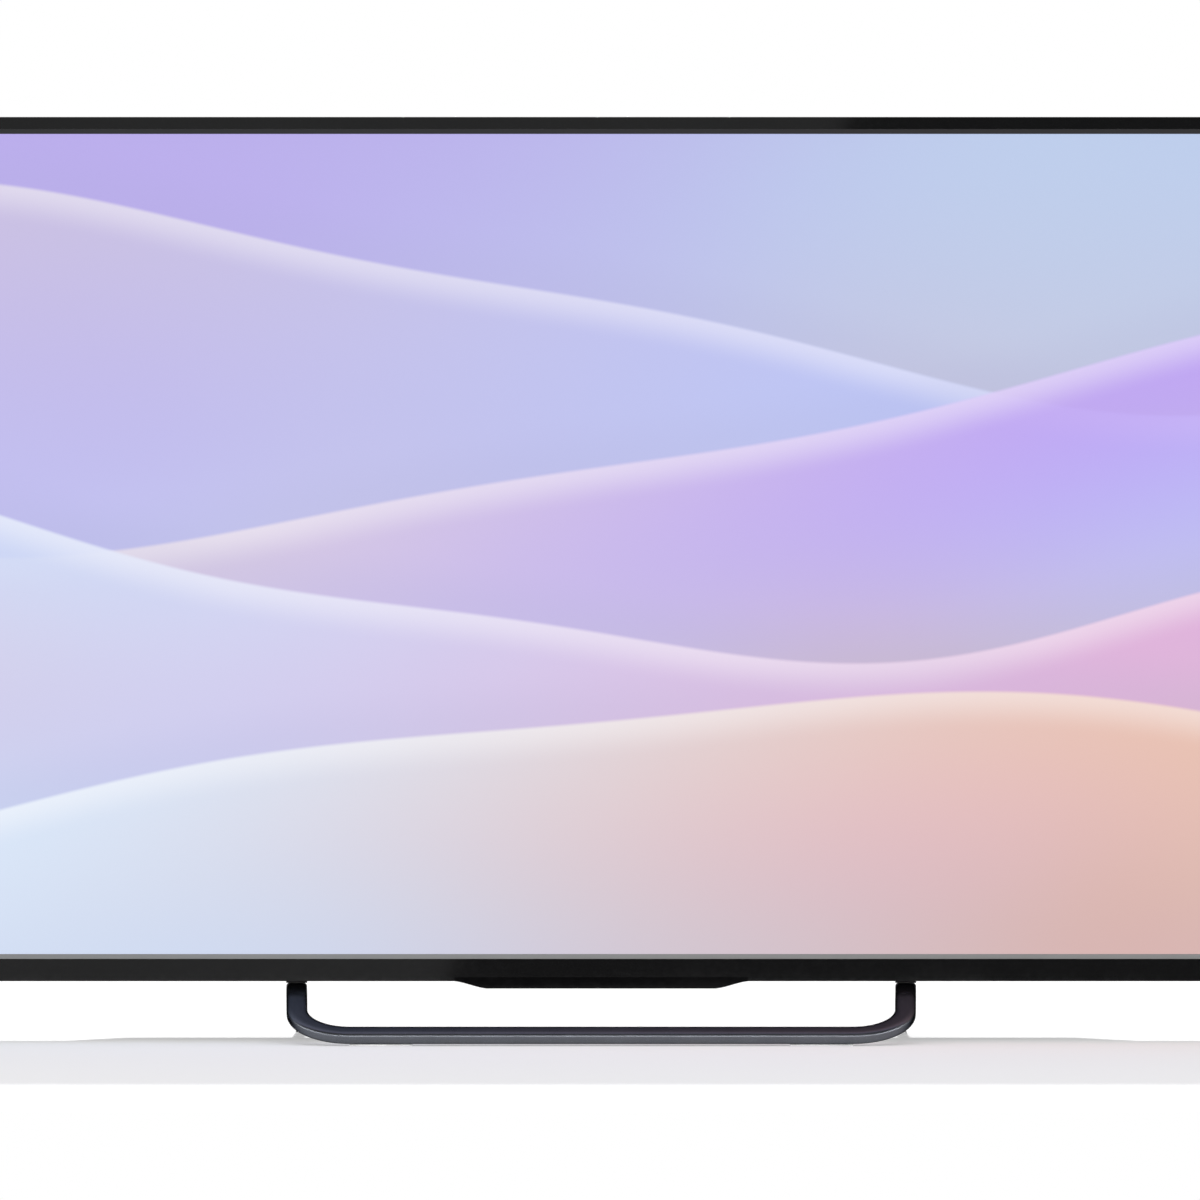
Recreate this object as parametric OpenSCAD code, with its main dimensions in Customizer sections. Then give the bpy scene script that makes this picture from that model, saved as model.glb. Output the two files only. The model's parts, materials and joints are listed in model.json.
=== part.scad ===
// Flat screen television on a bent flat-bar stand, in millimetres.
// The origin is on the table under the middle of the stand. +X is to the right seen from the front,
// the screen faces -Y and +Z is up. Depths are counted from the front face of the bezel.

/* [Picture] */
// Width of the lit picture
screen_w = 941.2; // [800:0.1:1100]
// Height of the lit picture
screen_h = 529.4; // [500:0.1:620]
// Height of the bezel's lower edge above the table
tv_lift = 38.5; // [35:0.5:60]

/* [Bezel] */
// Visible width of the bezel at the top and the sides
bezel_edge = 10.8; // [10:0.1:20]
// Visible width of the bezel below the picture
bezel_foot = 17.4; // [16:0.1:30]
// Width of the sloping inner edge
bevel_w = 2.9; // [1:0.1:2.9]
// Depth of the sloping inner edge
bevel_d = 2.2; // [1:0.1:2.4]
// Height of the trim strip below the picture
strip_h = 3; // [3:0.1:5]
// Thickness of the bezel's front wall
lip_t = 2.6; // [2.5:0.1:4]
// Depth of the bezel's rim
rim_depth = 12; // [12:0.5:18]
// Thickness of the bezel's rim
rim_t = 2.2; // [1.5:0.1:2.8]
// Radius of the bezel's outer corners
bezel_r = 6; // [2:0.5:8]

/* [Sensor lens] */
// Width of the lens along its lower edge
lens_w = 148; // [90:1:220]
// Width of each sloping flank of the lens
lens_flank = 21; // [8:1:40]
// How far the lens hangs below the bezel
lens_drop = 4.8; // [2:0.1:8]
// How far the lens reaches up the face of the bezel
lens_lip = 3; // [2.8:0.1:6]
// Wall thickness of the lens
lens_wall = 1.6; // [1:0.1:2]
// Width of the sensor board
ir_board_w = 40; // [24:1:60]

/* [Display stack] */
// Thickness of the foam gasket behind the bezel
gasket_t = 0.4; // [0.3:0.1:1]
// Thickness of the liquid crystal cell
lcd_t = 1.4; // [0.8:0.1:2]
// Width of the cell's border outside the picture
lcd_border = 4; // [3.8:0.1:4.2]
// Thickness of the middle frame's ledge
ledge_t = 3; // [2:0.1:4]
// Thickness of the middle frame's outer wall
mid_t = 2.5; // [1.5:0.1:2.6]
// Thickness of each optical film
film_t = 0.3; // [0.2:0.05:0.5]
// Thickness of the diffuser plate
plate_t = 1.5; // [1.2:0.1:2.5]
// Thickness of the reflector sheet
reflector_t = 0.4; // [0.3:0.05:0.6]
// Distance from the diffuser plate to the light strips
light_gap = 18.7; // [14:0.1:30]
// Thickness of the steel tray
tray_t = 1; // [0.6:0.1:1.5]
// How far the walls of the tray slope inwards
tray_slope = 18; // [10:1:20]

/* [Light strips] */
// Number of light strips
led_rows = 5; // [3:1:5]
// Number of lenses on each strip
led_cols = 9; // [6:1:9]
// Spacing of the lenses along a strip
led_pitch_x = 96; // [70:1:98]
// Spacing of the strips
led_pitch_z = 96; // [70:1:98]
// Radius of a lens
led_r = 7.5; // [5:0.5:7.5]
// Height of a lens
led_h = 6; // [4:0.5:9]
// Width of a light strip
led_strip_w = 16; // [15:1:24]
// Thickness of a light strip
led_strip_t = 1.2; // [0.8:0.1:1.6]

/* [Rear cover] */
// Wall thickness of the rear cover
cover_t = 2.5; // [1.8:0.1:3]
// How far the rear cover is set in from the edge of the bezel
cover_inset = 1; // [0.5:0.1:1]
// Depth of the rear cover's straight edge
cover_edge_d = 6; // [3:0.5:8]
// How far the cover's back is drawn in at the top and the sides
cover_taper = 14; // [8:1:18]
// Space between the tray and the thin part of the cover
thin_gap = 5.5; // [5.5:0.1:12]
// Width of the housing on the back
bulge_w = 700; // [690:1:780]
// Height of the housing on the back
bulge_h = 399; // [380:1:420]
// Depth of the housing on the back
bulge_d = 42; // [38:1:60]
// How far the sides of the housing slope inwards
bulge_slope = 38; // [20:1:40]
// Width of a vent slot
vent_w = 4; // [2:0.5:6]
// Spacing of the vent slots
vent_pitch = 14; // [8:1:20]
// Length of the vent slots in the back
vent_l = 28; // [15:1:40]
// Radius of a cover screw's head
cover_screw_head_r = 3.4; // [2.8:0.1:4]
// Radius of a cover screw's thread
cover_screw_r = 1.6; // [1.2:0.1:2]

/* [Wall mount] */
// Spacing across of the wall mount holes
vesa_w = 200; // [180:1:210]
// Spacing in height of the wall mount holes
vesa_h = 200; // [100:1:220]
// Height of the middle of the wall mount pattern
vesa_z = 270; // [250:1:280]
// Radius of a wall mount post
post_r = 8; // [6:0.5:9]
// Radius of the threaded hole in a post
vesa_bore_r = 3; // [2:0.1:4]
// Depth of the threaded hole in a post
vesa_bore_l = 20; // [10:1:30]

/* [Boards] */
// Height of the standoffs that carry the boards
standoff_h = 12; // [12:0.5:16]
// Thickness of a circuit board
board_t = 1.6; // [1:0.1:2]
// Width of the main board
main_w = 176; // [150:1:176]
// Height of the main board
main_h = 230; // [226:1:250]
// Width of the power board
power_w = 176; // [150:1:176]
// Height of the power board
power_h = 200; // [160:1:230]
// Height of the boards' lower edges above the table
board_z = 130; // [128:1:140]
// Width of the timing board
tcon_w = 140; // [100:1:160]
// Height of the timing board
tcon_h = 60; // [40:1:60]
// Radius of a board screw's thread
board_screw_r = 1.25; // [1:0.05:1.5]

/* [Socket bays] */
// How far the bays are cut into the housing
bay_cut = 50; // [44:1:55]
// Height of the mains bay
mains_bay_h = 44; // [40:1:70]

/* [Keys] */
// Distance of the key column from the side of the set
key_inset = 51.4; // [46:0.1:80]
// Height of the lowest key above the table
key_z = 200; // [190:1:240]
// Spacing of the keys
key_pitch = 18; // [16:0.5:22]
// Width of a key cap
key_w = 9; // [6:0.5:12]
// Height of a key cap
key_h = 12; // [8:0.5:12]
// How far a key stands out of the cover
key_proud = 1.2; // [1:0.1:2]
// Travel of a key
key_travel = 0.6; // [0.3:0.05:0.7]

/* [Speakers] */
// Length of a speaker box
speaker_l = 160; // [130:1:165]
// Height of a speaker box
speaker_h = 42; // [38:1:55]
// Depth of a speaker box
speaker_d = 34; // [34:1:36]
// Distance of a speaker box's outer end from the middle
speaker_x = 300; // [290:1:304]
// Radius of a speaker cone
cone_r = 11.5; // [9:0.1:12]
// Travel of a speaker cone each way
cone_travel = 1; // [0.5:0.1:1.2]

/* [Stand] */
// Width of the stand over its legs
stand_span = 404; // [360:1:430]
// Width of the flat bar
bar_w = 13.5; // [11:0.5:16]
// Thickness of the flat bar
bar_t = 7.5; // [6:0.1:9]
// Rounding of the bar's long edges
bar_r = 1.2; // [0.5:0.1:2]
// Inner radius of the front corners
corner_in = 28; // [18:1:33]
// Slope of the front loop
front_angle = 23.5; // [20:0.5:26]
// Lean of the legs outward, in the plane of the loop
leg_lean = 2; // [0:0.1:3]
// Radius of the bend from the front loop to the seat
front_bend_r = 90; // [60:1:110]
// Slope of the rear legs
rear_angle = 33; // [30:0.5:38]
// Radius of the bend from the seat to a rear leg
rear_bend_r = 60; // [40:1:70]
// Radius of the bend from a rear leg to its foot
foot_bend_r = 20; // [14:1:26]
// Width of the rear legs
rear_w = 8; // [7:0.5:10]
// Thickness of the rear legs
rear_t = 6.5; // [5:0.1:7]
// How far the rear legs are set out from the front legs' middle
rear_set = 1.5; // [0:0.1:1.7]
// Length of the flat seat under the set
seat_l = 28; // [26:1:34]
// Thickness of the saddle blocks between the seats and the cover
saddle_t = 2.6; // [2.5:0.1:5]
// Distance from the bezel's front face to the middle of the stand
stand_depth = 26; // [26:0.5:34]
// Spacing of the two stand screws in a leg
stand_screw_pitch = 20; // [19:0.5:21]
// Radius of a stand screw's thread
stand_screw_r = 2; // [1.5:0.1:2.5]
// Thickness of the silicone pads
pad_t = 0.8; // [0.5:0.1:2]
// Length of the front pads
pad_l = 40; // [20:1:80]
// Thickness of the steel stand brackets
bracket_t = 3; // [2:0.1:3]
// Width of a stand bracket
bracket_w = 56; // [44:1:56]

/* [Hidden] */
$fn = 48;

// Clearances: loose parts beside each other, a screw in its hole, a cut past a face
fit = 0.3;
screw_fit = 0.1;
past = 1;

// Outline of the set
front_y = -stand_depth;
outer_w = screen_w + 2 * bezel_edge;
outer_h = screen_h + bezel_edge + bezel_foot;
top_z = tv_lift + outer_h;
pic_z0 = tv_lift + bezel_foot;
pic_z = pic_z0 + screen_h / 2;
under_z = tv_lift + cover_inset;
key_x = outer_w / 2 - key_inset;

// Depths of the stack, front to back
d_lcd = lip_t + gasket_t;
d_ledge = d_lcd + lcd_t;
d_prism = d_ledge + ledge_t;
d_diffuser = d_prism + film_t;
d_plate = d_diffuser + film_t;
d_reflector = d_plate + plate_t;
d_flange = d_reflector + reflector_t;
d_led = d_reflector + light_gap;
d_floor = d_led + led_strip_t;
d_tray = d_floor + tray_t;
d_thin_in = d_tray + thin_gap;
d_thin = d_thin_in + cover_t;
d_back = d_thin + bulge_d;
d_board = d_tray + standoff_h;
d_parts = d_board + board_t;

// Margins of the stack outside the picture
film_edge = lcd_border - 0.5;
mid_in = lcd_border + fit;
mid_out = mid_in + mid_t;
ledge_edge = 1;
tray_edge = -2;
tray_wall = 1.4 * tray_t;

// Board corners: across and up
bay_x = bulge_w / 2 - bay_cut;
board_x1 = bay_x - cover_t - 4 * fit;
main_x = [board_x1 - main_w, board_x1];
main_z = [board_z, board_z + main_h];
power_x = [-board_x1, power_w - board_x1];
power_z = [board_z, board_z + power_h];
tcon_z = [main_z[1] - tcon_h - 10, main_z[1] - 10];
tcon_x = [-tcon_w / 2, tcon_w / 2];
hole_inset = 6;
tall = 0.6 * bulge_d;
standoff_r = 3;

// Sockets: how far they stand out of the bay wall, and their heights up the bay
socket_x = bay_x + 1;
antenna_z = board_z + 20;
lan_z = board_z + 48;
hdmi_z = [for (i = [0:2]) board_z + 76 + 26 * i];
usb_z = [for (i = [0:1]) board_z + 154 + 22 * i];
jack_z = [for (i = [0:1]) board_z + 197 + 18 * i];
mains_z = board_z + mains_bay_h / 2;
hdmi_size = [15, 15, 6.2];
usb_size = [14, 14.5, 7];
lan_size = [21, 16, 13.5];
jack_size = [14, 9, 8];
mains_size = [23, 22, 13];
jack_bore_r = 1.8;
jack_bore_l = 14;
jack_collar_r = 3.6;
antenna_r = 4.75;
antenna_l = 10;
tuner_size = [46, 32, 12];

// Cover screw places: across and up
screw_x = key_x - 24;
screw_z = [pic_z0 + 36, pic_z, top_z - 46];
cover_screws = concat(
    [for (s = [-1, 1], z = screw_z) [s * screw_x, z]],
    [for (s = [-1, 1]) [s * screw_x / 3, screw_z[2]]]
);
cover_screw_head = 2.2;
cover_screw_seat = d_tray + 4.8;
boss_r = cover_screw_head_r + 2.4;

// Keys, from the cover's inner face towards the tray
key_board_half = 0.9 * key_w;
switch_half = key_w / 3;
plunger_r = key_w / 6;
stake_r = key_w / 8;
stud_r = key_w / 3;
key_flange = 1;
key_stem = 0.3;
switch_top = d_thin_in - key_flange - key_stem - key_travel - 0.1;
switch_h = 2;
key_board_t = 1;
key_switch_d = switch_top - switch_h;
key_count = 7;
flange_gap = 3;
stake_gap = key_h / 2 + flange_gap + stud_r;
stake_z = [key_z - stake_gap, key_z + (key_count - 1) * key_pitch + stake_gap];
key_board_z = [stake_z[0] - stud_r - 1, stake_z[1] + stud_r + 1];

// Speakers
speaker_z0 = under_z + cover_t + 6.5;
speaker_d0 = d_tray + 10;
speaker_t = 2;
driver_x = speaker_x - 38;
driver_y = front_y + speaker_d0 + speaker_d / 2;
driver_in = cone_r + 0.4;
driver_wall = 1.4;
driver_flange = 3;
driver_flange_t = 1.5;
driver_basket_h = 12;
magnet_h = 10;
mount_w = 10;

// Stand
leg_x = (stand_span - bar_w) / 2;
corner_r = corner_in + bar_w / 2;
rear_x = leg_x + rear_set;
seat_step = 0.4;
// Thin weld seam where the front corner meets the leaning leg
joint_step = 0.1;
joint_l = 1.2;
seat_t = bar_t + 2 * seat_step;
embed = 3;
seat_z = under_z - saddle_t - seat_t / 2;
flat_v = bar_w / 2 - bar_r;
flat_n = bar_t / 2 - bar_r;
bar_z = pad_t + flat_v * sin(front_angle) + flat_n * cos(front_angle) + bar_r;
front_rise = seat_z - bar_z - front_bend_r * (1 - cos(front_angle));
front_l = front_rise / sin(front_angle) - corner_r;
lean_l = front_l + corner_r * sin(leg_lean);
corner_x = leg_x - corner_r * (1 - cos(leg_lean));
corner_v = corner_r * (1 - sin(leg_lean));
seat_x = corner_x + (lean_l + front_bend_r * sin(front_angle)) * sin(leg_lean);
seat_y = embed - seat_l / 2;
seat_turn = atan(tan(leg_lean) * cos(front_angle));
bar_y = -(seat_l / 2 - embed + front_bend_r * sin(front_angle) + (front_l + corner_r) * cos(front_angle));
reach = -bar_y + flat_v * cos(front_angle) + flat_n * sin(front_angle) + bar_r;
foot_z = pad_t + rear_t / 2 + seat_step;
rear_drop = rear_bend_r * (1 - cos(rear_angle));
rear_l = (seat_z - foot_z - rear_drop - foot_bend_r * (1 - cos(rear_angle))) / sin(rear_angle);
rear_y = seat_l / 2 - embed + rear_bend_r * sin(rear_angle);
foot_y = rear_y + rear_l * cos(rear_angle) + foot_bend_r * sin(rear_angle);
foot_l = reach - foot_y;
stand_head_h = 2.4;
stand_head_r = 3.5;
bracket_h = 105;

// A box from its ranges: across, in depth from the front face, and up
module slab(x, d, z)
    translate([x[0], front_y + d[0], z[0]])
        cube([x[1] - x[0], d[1] - d[0], z[1] - z[0]]);

// A box in the bay: its length back from the mouth, its height and its depth over the board
module socket_body(size, z)
    slab([socket_x - size[0], socket_x], [d_parts, d_parts + size[2]], [z - size[1] / 2, z + size[1] / 2]);

// A rectangle over the picture with a margin all round
module pane(edge, d)
    slab(
        [-screen_w / 2 - edge, screen_w / 2 + edge],
        d,
        [pic_z0 - edge, pic_z0 + screen_h + edge]
    );

// A rectangle over the picture whose margin changes with depth
module basin(edge0, d, edge1)
    translate([0, front_y + d[0], pic_z]) rotate([90, 0, 0]) mirror([0, 0, 1])
        linear_extrude(
            height = d[1] - d[0],
            slices = 1,
            scale = [
                (screen_w + 2 * edge1) / (screen_w + 2 * edge0),
                (screen_h + 2 * edge1) / (screen_h + 2 * edge0)
            ]
        )
            square([screen_w + 2 * edge0, screen_h + 2 * edge0], center = true);

// Margin of the tray's inner wall at a depth
function tray_at(d) = tray_edge - tray_slope * (d - d_flange) / (d_floor - d_flange);

// A round bar from front to back
module rod(x, z, d, r)
    translate([x, front_y + d[1], z]) rotate([90, 0, 0]) cylinder(r = r, h = d[1] - d[0]);

// A round bar across, from the left
module cross_rod(x, d, z, r)
    translate([x[0], front_y + d, z]) rotate([0, 90, 0]) cylinder(r = r, h = x[1] - x[0]);

// A front outline between two depths
module outline(d)
    translate([0, front_y + d[1], 0]) rotate([90, 0, 0]) linear_extrude(d[1] - d[0]) children();

// A rectangle with round corners, on its lower middle
module rounded(w, h, r)
    translate([0, h / 2]) {
        square([w - 2 * r, h], center = true);
        square([w, h - 2 * r], center = true);
        for (x = [-1, 1], y = [-1, 1])
            translate([x * (w / 2 - r), y * (h / 2 - r)]) circle(r = r);
    }

// A rectangle with cut corners, on its lower middle
module cut_corners(w, h, c)
    polygon([
        [w / 2 - c, 0], [w / 2, c], [w / 2, h - c], [w / 2 - c, h],
        [c - w / 2, h], [-w / 2, h - c], [-w / 2, c], [c - w / 2, 0]
    ]);

// A block that is drawn in at the top and the sides towards the back
module drawn_in(w, h, r, d, z, inset)
    translate([0, front_y + d[0], z]) rotate([90, 0, 0]) mirror([0, 0, 1])
        linear_extrude(height = d[1] - d[0], slices = 1, scale = [(w - 2 * inset) / w, (h - inset) / h])
            cut_corners(w, h, r);

// Outline of the lens below the bezel, with flanks that ease in and out
module lens_outline() {
    steps = 8;
    half = lens_w / 2;
    ease = [for (i = [0:steps]) (i / steps + (1 - cos(180 * i / steps)) / 2) / 2];
    right = [for (i = [0:steps]) [half + lens_flank * (1 - i / steps), -lens_drop * ease[i]]];
    left = [for (i = [0:steps]) [-right[steps - i][0], right[steps - i][1]]];
    translate([0, tv_lift])
        polygon(concat([[half + lens_flank, lens_lip]], right, left, [[-half - lens_flank, lens_lip]]));
}

// Corners of a board's screw pattern
function board_holes(x, z) =
    [for (a = [x[0] + hole_inset, x[1] - hole_inset], b = [z[0] + hole_inset, z[1] - hole_inset]) [a, b]];

all_board_holes =
    concat(board_holes(main_x, main_z), board_holes(power_x, power_z), board_holes(tcon_x, tcon_z));

// A board with its screw holes
module drilled_board(x, z)
    difference() {
        slab(x, [d_board, d_parts], z);
        for (p = board_holes(x, z))
            rod(p[0], p[1], [d_board - past, d_parts + past], board_screw_r + 3 * screw_fit);
    }

module front_bezel() color("black")
    difference() {
        outline([0, rim_depth]) translate([0, tv_lift]) rounded(outer_w, outer_h, bezel_r);
        slab(
            [-outer_w / 2 + rim_t, outer_w / 2 - rim_t],
            [lip_t, rim_depth + past],
            [tv_lift + rim_t, top_z - rim_t]
        );
        pane(0, [-past, lip_t + past]);
        basin(2 * bevel_w, [-bevel_d, bevel_d], 0);
        slab([-screen_w / 2, screen_w / 2], [-past, lip_t + past], [pic_z0 - strip_h, pic_z0 + past]);
        outline([-past, rim_depth + past]) lens_outline();
    }

// Satin strip under the picture, with a face that slopes back to the glass
module lower_trim_strip() {
    front = 0.2;
    l = screen_w - 2 * fit;
    color("gray")
        translate([-l / 2, front_y, pic_z0]) rotate([90, 0, 90])
            linear_extrude(l)
                polygon([[front, -strip_h], [lip_t, -strip_h], [lip_t, 0], [bevel_d, 0]]);
}

// Foam frame between the bezel and the glass
module bezel_gasket() color([0.1, 0.1, 0.1])
    difference() {
        pane(lcd_border, [lip_t, d_lcd]);
        pane(lcd_border / 8, [lip_t - past, d_lcd + past]);
    }

module ir_lens() color([0.05, 0.05, 0.06])
    difference() {
        outline([0, rim_depth]) lens_outline();
        slab(
            [-lens_w / 2 + lens_wall, lens_w / 2 - lens_wall],
            [lens_wall, rim_depth - lens_wall],
            [tv_lift - lens_drop + lens_wall, tv_lift + lens_lip + past]
        );
    }

// Sensor board with the receiver and the lamp
module ir_board() {
    z0 = tv_lift - lens_drop + lens_wall;
    d0 = rim_depth / 2;
    receiver_w = 6;
    color("darkgreen") {
        slab([-ir_board_w / 2, ir_board_w / 2], [d0, d0 + 1.2], [z0, pic_z0 - mid_out - fit]);
        slab([-receiver_w / 2, receiver_w / 2], [d0 - 2.6, d0], [z0 + 1, z0 + 1 + receiver_w]);
        rod(ir_board_w / 2 - 5, z0 + 4, [d0 - 2, d0], 1.5);
    }
}

module lcd_panel() color("lightsteelblue") pane(lcd_border, [d_lcd, d_ledge]);

module mid_frame() color("dimgray")
    difference() {
        pane(mid_out, [d_lcd + 0.2, d_flange + tray_t + 0.5]);
        pane(ledge_edge, [d_lcd - past, d_flange + tray_t + past]);
        pane(mid_in, [d_lcd - past, d_ledge]);
        pane(mid_in, [d_prism, d_flange + tray_t + past]);
    }

module prism_sheet() color("white") pane(film_edge, [d_prism, d_diffuser]);

module diffuser_sheet() color("whitesmoke") pane(film_edge, [d_diffuser, d_plate]);

module diffuser_plate() color("ivory") pane(film_edge, [d_plate, d_reflector]);

module led_places()
    for (i = [0:led_cols - 1], j = [0:led_rows - 1])
        translate([(i - (led_cols - 1) / 2) * led_pitch_x, 0, (j - (led_rows - 1) / 2) * led_pitch_z])
            children();

module reflector_sheet() {
    slack = 0.4;
    floor_d = d_led - reflector_t;
    wall = 1.4 * reflector_t;
    color("white")
        difference() {
            union() {
                pane(film_edge, [d_reflector, d_flange]);
                basin(tray_at(d_reflector) - slack, [d_reflector, d_led], tray_at(d_led) - slack);
            }
            basin(
                tray_at(d_reflector - past) - slack - wall,
                [d_reflector - past, floor_d],
                tray_at(floor_d) - slack - wall
            );
            led_places() rod(0, pic_z, [floor_d - past, d_led + past], led_r + 2 * fit);
        }
}

module led_strips() {
    half = (led_cols - 1) * led_pitch_x / 2 + led_strip_w;
    color("white")
        for (j = [0:led_rows - 1]) {
            z = pic_z + (j - (led_rows - 1) / 2) * led_pitch_z;
            slab([-half, half], [d_led, d_floor], [z - led_strip_w / 2, z + led_strip_w / 2]);
        }
}

module led_lenses() {
    skirt = led_h / 3;
    color("aliceblue")
        led_places() {
            rod(0, pic_z, [d_led - skirt, d_led], led_r);
            translate([0, front_y + d_led - skirt, pic_z]) rotate([90, 0, 0])
                cylinder(r1 = led_r, r2 = led_r / 2, h = led_h - skirt);
        }
}

// Holes through the tray for the cover's screws and the stand brackets' screws
module tray_holes() {
    for (p = cover_screws)
        rod(p[0], p[1], [d_floor - past, d_tray + past], cover_screw_r + screw_fit);
    for (p = bracket_holes)
        rod(p[0], p[1], [d_floor - past, d_tray + past], stand_screw_r + screw_fit);
}

module backlight_tray() color("silver") {
    difference() {
        union() {
            pane(lcd_border, [d_flange, d_flange + tray_t]);
            basin(
                tray_at(d_flange) + tray_wall,
                [d_flange, d_tray],
                tray_at(d_tray) + tray_wall
            );
        }
        basin(tray_at(d_flange - past), [d_flange - past, d_floor], tray_at(d_floor));
        tray_holes();
    }
    for (p = all_board_holes)
        difference() {
            rod(p[0], p[1], [d_tray, d_board], standoff_r);
            rod(p[0], p[1], [d_tray + 3, d_board + past], board_screw_r + screw_fit);
        }
}

// Two driver boards behind the tray's lower flange
module source_boards() {
    d0 = d_flange + tray_t;
    gap = 40;
    end = screen_w / 2 - 30;
    color("darkgreen")
        for (s = [-1, 1])
            slab(
                [min(s * gap, s * end), max(s * gap, s * end)],
                [d0, d0 + 1.2],
                [pic_z0 - lcd_border, pic_z0]
            );
}

module tcon_board() color("darkgreen") {
    drilled_board(tcon_x, tcon_z);
    slab([tcon_x[0] + 30, tcon_x[1] - 30], [d_parts, d_parts + 3], [tcon_z[0] + 12, tcon_z[1] - 12]);
}

// Flat cable that lies on the two boards' edges and bridges the gap
module signal_ribbon() {
    overlap = 14;
    mid = (tcon_z[0] + tcon_z[1]) / 2;
    color("lightgray")
        slab(
            [tcon_x[1] - overlap, main_x[0] + overlap],
            [d_parts, d_parts + 0.4],
            [mid - 14, mid + 14]
        );
}

module main_board() color("darkgreen") {
    drilled_board(main_x, main_z);
    slab([main_x[0] + 50, main_x[0] + 78], [d_parts, d_parts + 1.6], [main_z[0] + 130, main_z[0] + 158]);
    for (i = [0:2])
        rod(main_x[0] + 30, main_z[0] + 40 + 16 * i, [d_parts, d_parts + 9], 4);
}

// Finned cooler on the main chip
module main_heatsink() {
    x = main_x[0] + 64;
    z = main_z[0] + 144;
    d = d_parts + 1.6;
    half = 21;
    color("silver") {
        slab([x - half, x + half], [d, d + 3], [z - half, z + half]);
        for (i = [-3:3])
            slab([x + i * 6 - 0.8, x + i * 6 + 0.8], [d + 2, d + 12], [z - half, z + half]);
    }
}

antenna_d = d_parts + tuner_size[2] / 2;
antenna_x0 = bay_x + fit;
tuner_x1 = board_x1 - 12;

module tuner_can() color("gainsboro")
    slab(
        [tuner_x1 - tuner_size[0], tuner_x1],
        [d_parts, d_parts + tuner_size[2]],
        [antenna_z - tuner_size[1] / 2, antenna_z + tuner_size[1] / 2]
    );

// Aerial spigot with a hex seat against the can
module antenna_socket() color("goldenrod")
    difference() {
        union() {
            cross_rod([antenna_x0, antenna_x0 + antenna_l], antenna_d, antenna_z, antenna_r);
            cross_rod([tuner_x1, antenna_x0 + past], antenna_d, antenna_z, antenna_r - 0.5);
            cross_rod([tuner_x1, tuner_x1 + 3], antenna_d, antenna_z, antenna_r + 1, $fn = 6);
        }
        cross_rod([antenna_x0, antenna_x0 + antenna_l + past], antenna_d, antenna_z, 1);
    }

module hdmi_sockets() {
    wall = 0.7;
    tongue = 1.2;
    color("silver")
        for (z = hdmi_z) {
            difference() {
                socket_body(hdmi_size, z);
                slab(
                    [socket_x - hdmi_size[0] + 4, socket_x + past],
                    [d_parts + wall, d_parts + hdmi_size[2] - wall],
                    [z - hdmi_size[1] / 2 + wall, z + hdmi_size[1] / 2 - wall]
                );
            }
            slab(
                [socket_x - hdmi_size[0] + 3, socket_x - 2],
                [d_parts + hdmi_size[2] / 2 - tongue / 2, d_parts + hdmi_size[2] / 2 + tongue / 2],
                [z - 5, z + 5]
            );
        }
}

module usb_sockets() {
    wall = 0.8;
    tongue = 1.8;
    color("silver")
        for (z = usb_z) {
            difference() {
                socket_body(usb_size, z);
                slab(
                    [socket_x - usb_size[0] + 3, socket_x + past],
                    [d_parts + wall, d_parts + usb_size[2] - wall],
                    [z - usb_size[1] / 2 + wall, z + usb_size[1] / 2 - wall]
                );
            }
            slab(
                [socket_x - usb_size[0] + 2, socket_x - 1.5],
                [d_parts + wall + 0.8, d_parts + wall + 0.8 + tongue],
                [z - 5.5, z + 5.5]
            );
        }
}

module lan_socket() color("gainsboro")
    difference() {
        socket_body(lan_size, lan_z);
        slab(
            [socket_x - 14, socket_x + past],
            [d_parts + 2.6, d_parts + lan_size[2] - 2.6],
            [lan_z - 6, lan_z + 6]
        );
    }

jack_d = d_parts + jack_size[2] / 2;

// Headphone and picture-and-sound jacks
module audio_jacks() color("dimgray")
    for (z = jack_z)
        difference() {
            union() {
                slab(
                    [board_x1 - jack_size[0], bay_x - cover_t - fit],
                    [d_parts, d_parts + jack_size[2]],
                    [z - jack_size[1] / 2, z + jack_size[1] / 2]
                );
                cross_rod([bay_x - cover_t - 2 * fit, socket_x], jack_d, z, jack_collar_r);
            }
            cross_rod([socket_x - jack_bore_l, socket_x + past], jack_d, z, jack_bore_r);
        }

module power_board() color("tan") drilled_board(power_x, power_z);

module power_transformers() {
    x = power_x[0] + 0.4 * power_w;
    w = 0.2 * power_w;
    h = 0.18 * power_h;
    color("goldenrod")
        for (i = [0:1]) {
            z = power_z[0] + (0.35 + 0.25 * i) * power_h;
            slab([x, x + w], [d_parts, d_parts + tall], [z, z + h]);
        }
}

module power_capacitors() {
    r = power_w / 18;
    color("darkslategray")
        for (i = [0:2])
            rod(
                power_x[0] + 0.8 * power_w,
                power_z[0] + (0.25 + 0.17 * i) * power_h,
                [d_parts, d_parts + tall],
                r
            );
}

// Two upright cooling plates
module power_heatsink() {
    x = power_x[0] + 0.23 * power_w;
    l = 0.26 * power_h;
    color("silver")
        for (i = [0:1]) {
            z = power_z[0] + (0.3 + 0.31 * i) * power_h;
            slab([x, x + cover_t], [d_parts, d_parts + 0.9 * tall], [z, z + l]);
        }
}

// Wires from the power board's plug to the main board's plug
module power_harness() {
    plug_l = 12;
    plug_h = 24;
    z = board_z + 110;
    color("ivory") {
        for (x = [power_x[1] - plug_l, main_x[0]])
            slab([x, x + plug_l], [d_parts, d_parts + 7], [z - plug_h / 2, z + plug_h / 2]);
        for (i = [-1:1])
            cross_rod([power_x[1] - 1, main_x[0] + 1], d_parts + 3.5, z + 7 * i, 1.6);
    }
}

mains_d = d_parts + mains_size[2] / 2;
mains_half = 4.3;

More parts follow.
